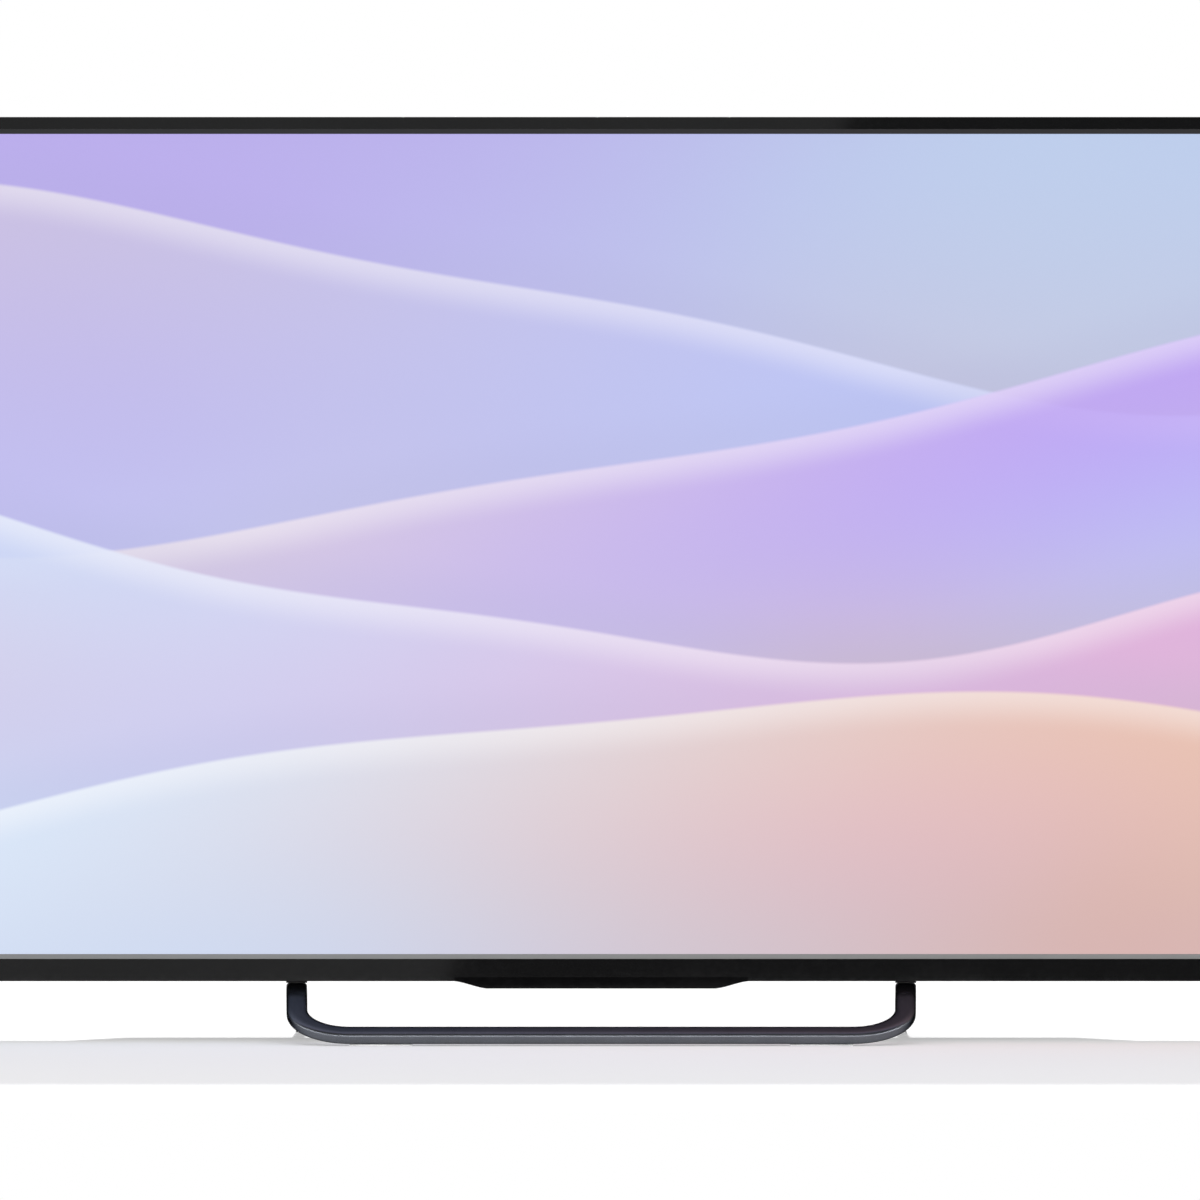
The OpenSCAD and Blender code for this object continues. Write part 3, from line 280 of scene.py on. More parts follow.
def moulded(name, tone, rough=0.55, grain=1400.0, bump=0.3):
    """Moulded plastic with an even spark texture."""
    return finish(name, tone, 0.1, rough, 0.07, patch=25, grain=grain, bump=bump, depth=0.08 * MM)[0]


def cover_texture(name, tone):
    """Rear cover plastic: a pebbled grain with a faint drift of gloss."""
    material, made = finish(name, tone, 0.12, 0.56, 0.06, patch=9, grain=1100, bump=0.25, depth=0.1 * MM)
    tree = made.tree
    pebble = put(tree, "ShaderNodeTexVoronoi", {"Vector": made.place, "Scale": 620.0}, feature="SMOOTH_F1")
    tree.links.new(
        calc(tree, "MULTIPLY_ADD", made.fine, 0.35, pebble.outputs["Distance"]), made.relief.inputs["Height"]
    )
    return material


def graphite_paint(name, tone):
    """Satin metallic paint: fine flakes under an even, slightly dull coat, with painted shade that darkens it where it
    is seen aslant.
    """
    material, made = finish(
        name, tone, 0.05, 0.31, 0.04, patch=40, grain=1600, bump=0.02, depth=0.02 * MM, Metallic=1.0
    )
    tree = made.tree
    made.skin.inputs["Specular Tint"].default_value = (0.06, 0.06, 0.07, 1.0)
    flakes = put(tree, "ShaderNodeTexVoronoi", {"Vector": made.place, "Scale": 4200.0})
    glint = put(tree, "ShaderNodeSeparateColor", {"Color": flakes.outputs["Color"]}).outputs[0]
    spark = eased(tree, glint, 0.82, 1.0, 0.0, 0.35)
    flecked = blend(tree, spark, made.colour, shade(tone, 2.2))
    # Painted shade: the base colour turns darker where the surface is seen aslant, standing in for the dark tops of the
    # bar and legs.
    aslant = put(tree, "ShaderNodeLayerWeight", {"Blend": 0.5}).outputs["Facing"]
    aslant_painted_shade = blend(tree, eased(tree, aslant, 0.3, 0.9, 0.0, 0.8), flecked, shade(tone, 0.12))
    tree.links.new(aslant_painted_shade, made.skin.inputs["Base Color"])
    return material


def spangled_zinc(name, tone):
    """Galvanised sheet with zinc spangles."""
    material, made = finish(name, tone, 0.06, 0.42, 0.05, patch=20, grain=500, bump=0.05, Metallic=1.0)
    tree = made.tree
    cells = put(tree, "ShaderNodeTexVoronoi", {"Vector": made.place, "Scale": 140.0})
    cell = put(tree, "ShaderNodeSeparateColor", {"Color": cells.outputs["Color"]}).outputs[0]
    tree.links.new(
        blend(tree, eased(tree, cell, 0, 1, 0, 0.45), made.colour, shade(tone, 1.35)),
        made.skin.inputs["Base Color"],
    )
    tree.links.new(eased(tree, cell, 0, 1, 0.3, 0.55, "LINEAR"), made.skin.inputs["Roughness"])
    return material


def bright_metal(name, tone, rough=0.3, stretch=(1.0, 1.0, 1.0)):
    """Tinned, plated, turned or extruded metal with fine lines."""
    return finish(name, tone, 0.08, rough, 0.07, patch=60, grain=1500, bump=0.08, stretch=stretch, Metallic=1.0)[0]


def circuit_board(name, mask, track):
    """Board laminate: tracks under the mask and dots of solder."""
    material, made = finish(name, mask, 0.1, 0.4, 0.06, patch=40, grain=800, bump=0.05)
    tree = made.tree
    turned = put(
        tree, "ShaderNodeMapping", {"Vector": made.place, "Rotation": (math.radians(90), 0, 0)}
    ).outputs["Vector"]
    rows = put(
        tree,
        "ShaderNodeTexBrick",
        {"Vector": turned, "Scale": 90.0, "Mortar Size": 0.06, "Mortar Smooth": 0.2, "Color1": shade(mask, 1.0)},
    )
    tracks = blend(tree, rows.outputs["Fac"], made.colour, shade(track, 1.0))
    dots = put(tree, "ShaderNodeTexVoronoi", {"Vector": turned, "Scale": 210.0})
    solder = eased(tree, dots.outputs["Distance"], 0.2, 0.16)
    tree.links.new(blend(tree, solder, tracks, (0.62, 0.62, 0.6, 1)), made.skin.inputs["Base Color"])
    tree.links.new(solder, made.skin.inputs["Metallic"])
    tree.links.new(calc(tree, "ADD", rows.outputs["Fac"], solder), made.relief.inputs["Height"])
    return material


def foam(name, tone):
    """Open-cell foam or rubber with small pores."""
    material, made = finish(name, tone, 0.2, 0.85, 0.06, patch=60, grain=1200, bump=0.4, depth=0.1 * MM)
    tree = made.tree
    pores = put(tree, "ShaderNodeTexVoronoi", {"Vector": made.place, "Scale": 900.0})
    tree.links.new(pores.outputs["Distance"], made.relief.inputs["Height"])
    return material


def taped_core(name, tone):
    """Transformer core with turns of tape, and painted shade in the grooves between the turns."""
    material, made = finish(name, tone, 0.1, 0.35, 0.06, patch=50, grain=700, bump=0.3, depth=0.2 * MM)
    tree = made.tree
    turns = put(
        tree, "ShaderNodeTexWave", {"Vector": made.place, "Scale": 60.0, "Distortion": 0.6}, bands_direction="Z"
    )
    tree.links.new(turns.outputs["Fac"], made.relief.inputs["Height"])
    # Painted shade: the colour turns darker where the tape's height is low, in the grooves between the turns.
    tree.links.new(
        blend(tree, eased(tree, turns.outputs["Fac"], 0, 0.4, 0.5, 0), made.colour, shade(tone, 0.45)),
        made.skin.inputs["Base Color"],
    )
    return material


def lit_lens(name, tone):
    """Clear moulded lens with a slight haze."""
    return finish(name, tone, 0.03, 0.1, 0.05, patch=80, grain=600, bump=0.03, Transmission_Weight=0.85, IOR=1.49)[0]


def make_finishes():
    """One material for each slot in the record."""
    bezel = bpy.context.scene.tv_bezel
    stand = bpy.context.scene.tv_stand
    cover = bpy.context.scene.tv_cover
    return {
        "bezel_black": polished_black("polished_bezel", bezel.black, 0.5),
        "smoked_lens": polished_black("smoked_lens", bezel.lens_black, 0.15),
        "trim_grey": satin_trim("satin_trim", bezel.trim),
        "foam": foam("black_foam", (0.03, 0.03, 0.03)),
        "frame_grey": moulded("grey_frame", (0.08, 0.08, 0.085)),
        "film": moulded("milky_film", (0.82, 0.83, 0.85), 0.4, 300, 0.05),
        "white_sheet": moulded("white_sheet", (0.86, 0.86, 0.86), 0.45, 400, 0.06),
        "clear_lens": lit_lens("lamp_lens", (0.9, 0.93, 0.96)),
        "galvanised": spangled_zinc("spangled_zinc", (0.56, 0.57, 0.58)),
        "board_green": circuit_board("green_board", (0.03, 0.16, 0.07), (0.06, 0.26, 0.12)),
        "board_tan": circuit_board("tan_board", (0.5, 0.36, 0.18), (0.56, 0.42, 0.24)),
        "cable": moulded("wire_sleeve", (0.72, 0.7, 0.66), 0.45, 800, 0.12),
        "aluminium": bright_metal("extruded_aluminium", (0.68, 0.69, 0.7), 0.36, (1, 1, 0.05)),
        "socket_metal": bright_metal("tinned_shell", (0.66, 0.66, 0.67), 0.3, (0.1, 1, 1)),
        "brass": bright_metal("plated_spigot", (0.62, 0.55, 0.4), 0.28, (0.1, 1, 1)),
        "socket_black": moulded("socket_black", (0.03, 0.03, 0.03), 0.5),
        "coil_yellow": taped_core("taped_core", (0.55, 0.42, 0.1)),
        "screw_steel": bright_metal("blackened_screw", (0.2, 0.2, 0.21), 0.38),
        "key_black": moulded("satin_key", (0.035, 0.035, 0.037), 0.42, 1600, 0.12),
        "speaker_black": moulded("speaker_black", (0.05, 0.05, 0.05)),
        "cone_paper": moulded("coated_paper", (0.08, 0.08, 0.08), 0.75, 700, 0.6),
        "rubber": foam("matt_rubber", (0.03, 0.03, 0.03)),
        "pad_clear": foam("pale_silicone", (0.6, 0.6, 0.6)),
        "cover_black": cover_texture("textured_cover", cover.black),
        "graphite": graphite_paint("graphite_paint", stand.graphite),
        "gold_contact": bright_metal("gold_contact", (0.83, 0.6, 0.26), 0.25),
        "key_mark": moulded("pale_key_mark", (0.62, 0.62, 0.63), 0.5, 900, 0.1),
    }


FINISHES = {}


def finish_of(slot):
    """The material of a slot, made on first use with all the others."""
    if not FINISHES:
        FINISHES.update(make_finishes())
    return FINISHES[slot]


def slot_of(node):
    """The record's material slot of a node."""
    return next(p["material_slot"] for p in frame["record"]["subparts"] if p["node"] == node)


# Mesh helpers


def new_piece(name, data):
    """An object for a mesh, lamp or camera, in the scene."""
    data.name = name
    piece = bpy.data.objects.new(name, data)
    bpy.context.scene.collection.objects.link(piece)
    return piece


def mesh_from(name, bm):
    """A mesh from a finished bmesh."""
    mesh = bpy.data.meshes.new(name)
    bm.to_mesh(mesh)
    bm.free()
    return mesh


def piece_from(name, bm):
    """An object from a finished bmesh, with its faces turned outwards."""
    bmesh.ops.recalc_face_normals(bm, faces=bm.faces)
    return new_piece(name, mesh_from(name, bm))


def welded(node):
    """A node's mesh as a bmesh with its loose triangles joined into flat faces."""
    bm = bmesh.new()
    bm.from_mesh(frame["nodes"][node].data)
    bmesh.ops.remove_doubles(bm, verts=bm.verts, dist=WELD)
    bmesh.ops.dissolve_limit(bm, angle_limit=FLAT, use_dissolve_boundaries=False, verts=bm.verts, edges=bm.edges)
    return bm


def bake(piece):
    """Replaces a piece's mesh by its evaluated one and removes its modifiers."""
    graph = bpy.context.evaluated_depsgraph_get()
    mesh = bpy.data.meshes.new_from_object(piece.evaluated_get(graph), preserve_all_data_layers=True, depsgraph=graph)
    piece.modifiers.clear()
    piece.data = mesh
    mesh.name = piece.name
    return piece


def rounded_copy(node, width, segments=3, name=None):
    """A copy of a node with its sharp edges rounded."""
    mesh = mesh_from(node, welded(node))
    for layer in ("custom_normal", "sharp_edge", "sharp_face"):
        if layer in mesh.attributes:
            mesh.attributes.remove(mesh.attributes[layer])
    piece = new_piece(name or node + "_rounded", mesh)
    mesh.shade_smooth()
    edge = piece.modifiers.new("edge_round", "BEVEL")
    edge.width = width
    edge.segments = segments
    edge.limit_method = "ANGLE"
    edge.angle_limit = SHARP
    edge.harden_normals = True
    edge.use_clamp_overlap = True
    return bake(piece)


def smooth(piece, crease):
    """Shades a piece smooth, apart from edges that bend more than so many degrees."""
    piece.data.shade_smooth()
    piece.data.set_sharp_from_angle(angle=math.radians(crease))


def islands(node):
    """Boxes of a node's separate solids, as lowest and highest corners, in the order of the mesh."""
    bm = bmesh.new()
    bm.from_mesh(frame["nodes"][node].data)
    bmesh.ops.remove_doubles(bm, verts=bm.verts, dist=WELD)
    done = set()
    boxes = []
    for first in bm.verts:
        if first in done:
            continue
        seen = near = {first}
        while near:
            near = {e.other_vert(v) for v in near for e in v.link_edges} - seen
            seen = seen | near
        done |= seen
        boxes.append([Vector([end(v.co[i] for v in seen) for i in range(3)]) for end in (min, max)])
    bm.free()
    return boxes


def dress(piece, body, slot, *nodes):
    """Gives a piece its finish and body, and lets it stand for the nodes it replaces."""
    if not piece.data.materials:
        piece.data.materials.append(finish_of(slot))
    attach(piece, body)
    if nodes:
        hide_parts(*nodes)
    return piece


def lathe(bm, profile, steps):
    """Turns a profile of radius and height pairs about Z into closed rings."""
    turns = [2 * math.pi * i / steps for i in range(steps)]
    rings = []
    for r, h in profile:
        around = turns if r else [0.0]
        rings.append([bm.verts.new((r * math.cos(a), r * math.sin(a), h)) for a in around])
    for low, high in zip(rings, rings[1:]):
        for i in range(steps):
            j = (i + 1) % steps
            loop = [low[i % len(low)], low[j % len(low)], high[j % len(high)], high[i % len(high)]]
            loop = list(dict.fromkeys(loop))
            if len(loop) > 2:
                bm.faces.new(loop)


# Geometry Nodes


def new_tree(name, inputs):
    """A Geometry Nodes tree with a geometry input and named inputs. Returns the tree, its inputs and its end."""
    geometry = ("Geometry", "Geometry")
    return new_group(name, "GeometryNodeTree", dict([geometry, *inputs.items()]), geometry)


def run_tree(piece, tree, values):
    """Runs a tree on a piece with named values, and bakes the result."""
    modifier = piece.modifiers.new(tree.name, "NODES")
    modifier.node_group = tree
    for item in tree.interface.items_tree:
        if item.in_out == "INPUT" and item.name in values:
            modifier[item.identifier] = values[item.name]
    return bake(piece)


def points_mesh(name, places):
    """A mesh of loose points."""
    mesh = bpy.data.meshes.new(name)
    mesh.from_pydata([tuple(p) for p in places], [], [])
    return new_piece(name, mesh)


def end_tree(tree, geometry, finish, end):
    """Makes the instances real, gives them the finish and links them to the tree's output."""
    real = put(tree, "GeometryNodeRealizeInstances", {"Geometry": geometry})
    painted = put(tree, "GeometryNodeSetMaterial", {"Geometry": real.outputs["Geometry"], "Material": finish})
    tree.links.new(painted.outputs["Geometry"], end.inputs["Geometry"])
    return tree


def put_copies(tree, points, copy, facing=(0.0, 0.0, 0.0)):
    """Puts a copy on every point, turned to face one way."""
    sockets = {"Points": points, "Instance": copy, "Rotation": facing}
    return put(tree, "GeometryNodeInstanceOnPoints", sockets).outputs["Instances"]


def scatter_tree():
    """Puts one object on every point, turned to face one way, each with its own turn about its axis."""
    tree, given, end = new_tree(
        "turned_copies", {"Copy": "Object", "Facing": "Vector", "Seed": "Int", "Finish": "Material"}
    )
    shape = put(tree, "GeometryNodeObjectInfo", {"Object": given["Copy"]})
    copies = put_copies(tree, given["Geometry"], shape.outputs["Geometry"], given["Facing"])
    angle = put(tree, "FunctionNodeRandomValue", {2: 0.0, 3: 2 * math.pi, "Seed": given["Seed"]}, data_type="FLOAT")
    turn = put(tree, "ShaderNodeCombineXYZ", {"Z": angle.outputs[1]})
    turned = put(
        tree,
        "GeometryNodeRotateInstances",
        {"Instances": copies, "Rotation": turn.outputs["Vector"], "Local Space": True},
    )
    return end_tree(tree, turned.outputs["Instances"], given["Finish"], end)


def contact_tree():
    """Puts a row of thin contacts at every point."""
    tree, given, end = new_tree(
        "contact_rows", {"Count": "Int", "Step": "Vector", "Size": "Vector", "Finish": "Material"}
    )
    row = put(tree, "GeometryNodeMeshLine", {"Count": given["Count"], "Offset": given["Step"]}, mode="OFFSET")
    rows = put_copies(tree, given["Geometry"], row.outputs["Mesh"])
    places = put(tree, "GeometryNodeRealizeInstances", {"Geometry": rows})
    leaf = put(tree, "GeometryNodeMeshCube", {"Size": given["Size"]})
    leaves = put_copies(tree, places.outputs["Geometry"], leaf.outputs["Mesh"])
    return end_tree(tree, leaves, given["Finish"], end)


def bent_bar_tree():
    """Sweeps a flat bar with soft edges along a path, with a bend at each corner of the path."""
    tree, given, end = new_tree(
        "bent_flat_bar",
        {"Width": "Float", "Thickness": "Float", "Squareness": "Float", "Bend Steps": "Int", "Finish": "Material"},
    )
    path = put(tree, "GeometryNodeMeshToCurve", {"Mesh": given["Geometry"]})
    bend = put(tree, "GeometryNodeInputNamedAttribute", {"Name": "bend"}, data_type="FLOAT")
    bent = put(
        tree,
        "GeometryNodeFilletCurve",
        {"Curve": path.outputs["Curve"], "Count": given["Bend Steps"], "Radius": bend.outputs["Attribute"]},
        mode="POLY",
    )
    up = put(tree, "GeometryNodeInputNamedAttribute", {"Name": "up"}, data_type="FLOAT_VECTOR")
    along = put(tree, "GeometryNodeInputTangent").outputs["Tangent"]
    share = put(tree, "ShaderNodeVectorMath", {0: up.outputs["Attribute"], 1: along}, operation="DOT_PRODUCT")
    part = put(tree, "ShaderNodeVectorMath", {0: along, "Scale": share.outputs["Value"]}, operation="SCALE")
    square = put(
        tree, "ShaderNodeVectorMath", {0: up.outputs["Attribute"], 1: part.outputs["Vector"]}, operation="SUBTRACT"
    )
    unit = put(tree, "ShaderNodeVectorMath", {0: square.outputs["Vector"]}, operation="NORMALIZE")
    upright = put(
        tree,
        "GeometryNodeSetCurveNormal",
        {"Curve": bent.outputs["Curve"], "Normal": unit.outputs["Vector"]},
        mode="FREE",
    )
    ring = put(tree, "GeometryNodeCurvePrimitiveCircle", {"Resolution": 72, "Radius": 1.0}, mode="RADIUS")
    at = put(tree, "ShaderNodeSeparateXYZ", {"Vector": put(tree, "GeometryNodeInputPosition").outputs["Position"]})
    power = calc(tree, "DIVIDE", 2.0, given["Squareness"])
    sides = []
    for value, size in ((at.outputs["X"], "Thickness"), (at.outputs["Y"], "Width")):
        raised = calc(tree, "POWER", calc(tree, "ABSOLUTE", value), power)
        reach = calc(tree, "MULTIPLY", raised, calc(tree, "SIGN", value))
        sides.append(calc(tree, "MULTIPLY", reach, calc(tree, "MULTIPLY", given[size], 0.5)))
    spot = put(tree, "ShaderNodeCombineXYZ", {"X": sides[0], "Y": sides[1]})
    section = put(
        tree, "GeometryNodeSetPosition", {"Geometry": ring.outputs["Curve"], "Position": spot.outputs["Vector"]}
    )
    swept = put(
        tree,
        "GeometryNodeCurveToMesh",
        {"Curve": upright.outputs["Curve"], "Profile Curve": section.outputs["Geometry"], "Fill Caps": True},
    )
    return end_tree(tree, swept.outputs["Mesh"], given["Finish"], end)


# Picture

WAVE_SHAPE = ("Height", "Swing", "Waves", "Phase", "Lean", "Depth")
WAVE_TINTS = ("Left Tint", "Right Tint")


def wave_layer():
    """A shader group that lays one wave with a lit crest over the colour below it."""
    inputs = dict.fromkeys(("Below", *WAVE_TINTS), "Color") | dict.fromkeys(("Across", "Up", *WAVE_SHAPE), "Float")
    group, ends, out = new_group("wave_layer", "ShaderNodeTree", inputs, ("Colour", "Color"))

    def swing(factor, shift, share):
        """One sine of the crest, by its share of the waves, its shift and its share of the swing."""
        waves = calc(group, "MULTIPLY", ends["Waves"], factor)
        turns = calc(group, "MULTIPLY_ADD", waves, ends["Across"], ends["Phase"])
        sway = calc(group, "SINE", calc(group, "MULTIPLY_ADD", turns, 2 * math.pi, shift))
        return calc(group, "MULTIPLY", sway, calc(group, "MULTIPLY", ends["Swing"], share))

    edge, opacity, shade_reach, shade_level, glow_reach, glow_level = 0.006, 0.92, 0.07, 0.13, 0.05, 0.34
    crest = calc(group, "ADD", calc(group, "ADD", swing(1.0, 0.0, 1.0), swing(1.87, 1.1, 0.36)), ends["Height"])
    crest = calc(group, "MULTIPLY_ADD", ends["Lean"], calc(group, "SUBTRACT", ends["Across"], 0.5), crest)
    under = calc(group, "SUBTRACT", crest, ends["Up"])
    inside = eased(group, under, 0.0, edge)
    fade = eased(group, calc(group, "DIVIDE", under, ends["Depth"]), 0.0, 1.0, 1.0, 0.0)
    outside = calc(group, "SUBTRACT", 1.0, inside)
    shadow = calc(group, "MULTIPLY", eased(group, under, -shade_reach, 0.0, 0.0, shade_level), outside)
    dimmed = blend(group, shadow, ends["Below"], (0.36, 0.36, 0.62, 1.0))
    drawn = calc(group, "ADD", ends["Across"], calc(group, "MULTIPLY", under, 0.8))
    tint = blend(group, eased(group, drawn, 0.05, 1.0), ends["Left Tint"], ends["Right Tint"])
    laid = blend(group, calc(group, "MULTIPLY", inside, calc(group, "MULTIPLY", fade, opacity)), dimmed, tint)
    glow = calc(group, "MULTIPLY", inside, eased(group, under, 0.0, glow_reach, glow_level, 0.0))
    lit = blend(group, glow, laid, (1.0, 0.98, 0.97, 1.0))
    group.links.new(lit, out.inputs["Colour"])
    return group


def picture_material():
    """The lit picture on the front of the panel, and a dark border round it."""
    look = bpy.context.scene.tv_picture
    low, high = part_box("lcd_panel")
    foot_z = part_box("lower_trim_strip")[1].z
    border = foot_z - low.z
    width = high.x - low.x - 2 * border
    height = high.z - low.z - 2 * border
    material, made = finish(
        "lit_picture", (0.012, 0.012, 0.014), 0.2, 0.42, 0.05, patch=20, grain=1500, bump=0.02, depth=0.02 * MM, IOR=1.3
    )
    tree, skin = made.tree, made.skin
    spot = put(tree, "ShaderNodeSeparateXYZ", {"Vector": made.place})
    across = calc(tree, "MULTIPLY_ADD", spot.outputs["X"], 1 / width, 0.5)
    up = calc(tree, "MULTIPLY_ADD", spot.outputs["Z"], 1 / height, -foot_z / height)
    drift = put(tree, "ShaderNodeTexNoise", {"Vector": made.place, "Scale": 2.2, "Detail": 1.0}).outputs["Fac"]
    soft = calc(tree, "MULTIPLY_ADD", drift, 0.5, -0.25)
    side = eased(tree, calc(tree, "ADD", across, soft), 0.1, 0.9)
    rise = eased(tree, calc(tree, "SUBTRACT", up, soft), 0.05, 0.95)
    top = blend(tree, side, shade(look.top_left, 1), shade(look.top_right, 1))
    foot = blend(tree, side, shade(look.low_left, 1), shade(look.low_right, 1))
    colour = blend(tree, rise, foot, top)
    layer = wave_layer()
    for *shape, left, right in (
        (0.80, 0.07, 0.85, 0.10, -0.16, 0.46, (0.56, 0.50, 0.72), (0.44, 0.52, 0.92)),
        (0.62, 0.08, 0.75, 0.55, 0.14, 0.40, (0.66, 0.58, 0.70), (0.48, 0.32, 0.86)),
        (0.44, 0.07, 0.95, 0.25, -0.12, 0.38, (0.58, 0.66, 0.88), (0.72, 0.40, 0.66)),
        (0.25, 0.06, 0.80, 0.80, 0.10, 0.34, (0.66, 0.76, 0.90), (0.78, 0.50, 0.38)),
    ):
        sockets = {"Below": colour, "Across": across, "Up": up}
        sockets |= zip(WAVE_SHAPE + WAVE_TINTS, (*shape, shade(left, 1), shade(right, 1)))
        colour = put(tree, "ShaderNodeGroup", sockets, node_tree=layer).outputs["Colour"]
    facing = put(tree, "ShaderNodeSeparateXYZ", {"Vector": put(tree, "ShaderNodeNewGeometry").outputs["True Normal"]})
    shown = calc(tree, "LESS_THAN", facing.outputs["Y"], -0.5)
    for place in (across, up):
        reach = calc(tree, "SUBTRACT", 0.5, calc(tree, "ABSOLUTE", calc(tree, "SUBTRACT", place, 0.5)))
        shown = calc(tree, "MULTIPLY", shown, calc(tree, "GREATER_THAN", reach, 0.0))
    tree.links.new(blend(tree, shown, (0.0, 0.0, 0.0, 1.0), colour), skin.inputs["Emission Color"])
    skin.inputs["Emission Strength"].default_value = look.brightness
    return material


# Operators


class TELEVISION_OT_finishes(bpy.types.Operator):
    """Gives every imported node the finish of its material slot"""

    bl_idname = "television.finishes"
    bl_label = "Finishes"

    def execute(self, context):
        for name, part in frame["nodes"].items():
            slot = slot_of(name)
            material = picture_material() if slot == "screen" else finish_of(slot)
            part.data.materials.clear()
            part.data.materials.append(material)
        return {"FINISHED"}


class TELEVISION_OT_bezel(bpy.types.Operator):
    """Makes the polished bezel and the smoked lens with rounded edges"""

    bl_idname = "television.bezel"
    bl_label = "Bezel"

    def execute(self, context):
        width = context.scene.tv_bezel.edge_round
        dress(rounded_copy("front_bezel", width), "set", "bezel_black", "front_bezel")
        dress(rounded_copy("ir_lens", 0.6 * width), "set", "smoked_lens", "ir_lens")
        return {"FINISHED"}


class TELEVISION_OT_stand(bpy.types.Operator):
    """Sweeps the stand's flat bar along its bent path"""

    bl_idname = "television.stand"
    bl_label = "Stand"

    def execute(self, context):
        look = context.scene.tv_stand
        rear_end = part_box("stand_frame")[1].y
        rise = look.seat_z - look.bar_z
        knee = look.bar_y + rise / math.tan(look.slope)
        tilt = (0, -math.sin(look.slope), math.cos(look.slope))
        level = (0, 0, 1)
        lean = math.tan(look.lean)
        turn_out = math.atan(lean * math.cos(look.slope))
        front_x = look.leg_x - look.corner_bend * (1 + lean - 1 / math.cos(look.lean))
        knee_x = front_x + lean * rise / math.sin(look.slope)
        seat_x = knee_x - knee * math.tan(turn_out)
        half = [
            (seat_x, 0.0, look.seat_z, 0.0, level),
            (knee_x, knee, look.seat_z, look.seat_bend, level),
            (front_x, look.bar_y, look.bar_z, look.corner_bend, tilt),
        ]
        loop = half + [(-p[0], *p[1:]) for p in reversed(half)]
        seat_end = knee + look.seat_bend * math.tan(look.slope / 2)
        turn = -seat_end + look.rear_bend * math.tan(look.rear_slope / 2)
        foot = turn + (look.seat_z - look.foot_z) / math.tan(look.rear_slope)
        bend_steps = 24
        tree = bent_bar_tree()
        parts = [(loop, look.bar_width, look.bar_thick)]
        for s in (-1, 1):
            leg = [(s * look.rear_x, y, z, b, level) for y, z, b in (
                (0.0, look.seat_z, 0.0),
                (turn, look.seat_z, look.rear_bend),
                (foot, look.foot_z, look.foot_bend),
                (rear_end, look.foot_z, 0.0),
            )]
            parts.append((leg, look.rear_width, look.rear_thick))
        bm = bmesh.new()
        for path, width, thick in parts:
            mesh = bpy.data.meshes.new("stand_path")
            mesh.from_pydata([p[:3] for p in path], [(i, i + 1) for i in range(len(path) - 1)], [])
            bends = mesh.attributes.new("bend", "FLOAT", "POINT")
            bends.data.foreach_set("value", [p[3] for p in path])
            ups = mesh.attributes.new("up", "FLOAT_VECTOR", "POINT")
            ups.data.foreach_set("vector", [v for p in path for v in p[4]])
            piece = run_tree(
                new_piece("stand_path", mesh),
                tree,
                {
                    "Width": width,
                    "Thickness": thick,
                    "Squareness": look.bar_square,
                    "Bend Steps": bend_steps,
                    "Finish": finish_of("graphite"),
                },
            )
            bm.from_mesh(piece.data)
            bpy.data.objects.remove(piece)
        overlap, seat_inset, rim = 3 * MM, 1.2 * MM, 0.4 * MM
        seat_half = overlap - seat_end
        for s in (-1, 1):
            made = bmesh.ops.create_cube(bm, size=1.0)["verts"]
            size = Vector((look.bar_width - 2 * seat_inset, 2 * seat_half, look.bar_thick))
            turned = Matrix.Rotation(-s * turn_out, 3, "Z")
            for v in made:
                v.co = Vector((s * seat_x, 0, look.seat_z)) + turned @ Vector(a * b for a, b in zip(v.co, size))
            edges = {e for v in made for e in v.link_edges}
            bmesh.ops.bevel(bm, geom=list(edges), offset=rim, segments=2, affect="EDGES", profile=0.5)
        piece = piece_from("stand_bar", bm)
        smooth(piece, 40)
        dress(piece, "set", "graphite", "stand_frame")
        return {"FINISHED"}


class TELEVISION_OT_cover(bpy.types.Operator):
    """Makes the textured rear cover with rounded edges"""

    bl_idname = "television.cover"
    bl_label = "Rear cover"

    def execute(self, context):
        piece = rounded_copy("rear_cover", context.scene.tv_cover.edge_round, 2)
        dress(piece, "set", "cover_black", "rear_cover")
        return {"FINISHED"}


def stroke(bm, path, width, low, high):
    """A line of even width on a key's face, from a path of across and up pairs."""
    left, right = [], []
    for i, p in enumerate(path):
        before = Vector(p) - Vector(path[i - 1]) if i else Vector(path[1]) - Vector(p)
        after = Vector(path[i + 1]) - Vector(p) if i + 1 < len(path) else before
        middle = (before.normalized() + after.normalized()).normalized()
        out = Vector((-middle.y, middle.x))
        lean = max(0.4, out.dot(Vector((-after.y, after.x)).normalized()))
        left.append(Vector(p) + out * width / 2 / lean)
        right.append(Vector(p) - out * width / 2 / lean)
    outline = left + right[::-1]
    foot = [bm.verts.new((p.x, low, p.y)) for p in outline]
    face = [bm.verts.new((p.x, high, p.y)) for p in outline]
    for i in range(len(outline)):
        j = (i + 1) % len(outline)
        bm.faces.new((foot[i], foot[j], face[j], face[i]))
    for i in range(len(path) - 1):
        k = len(outline) - 1 - i
        for ring in (foot, face):
            bm.faces.new((ring[i], ring[i + 1], ring[k - 1], ring[k]))


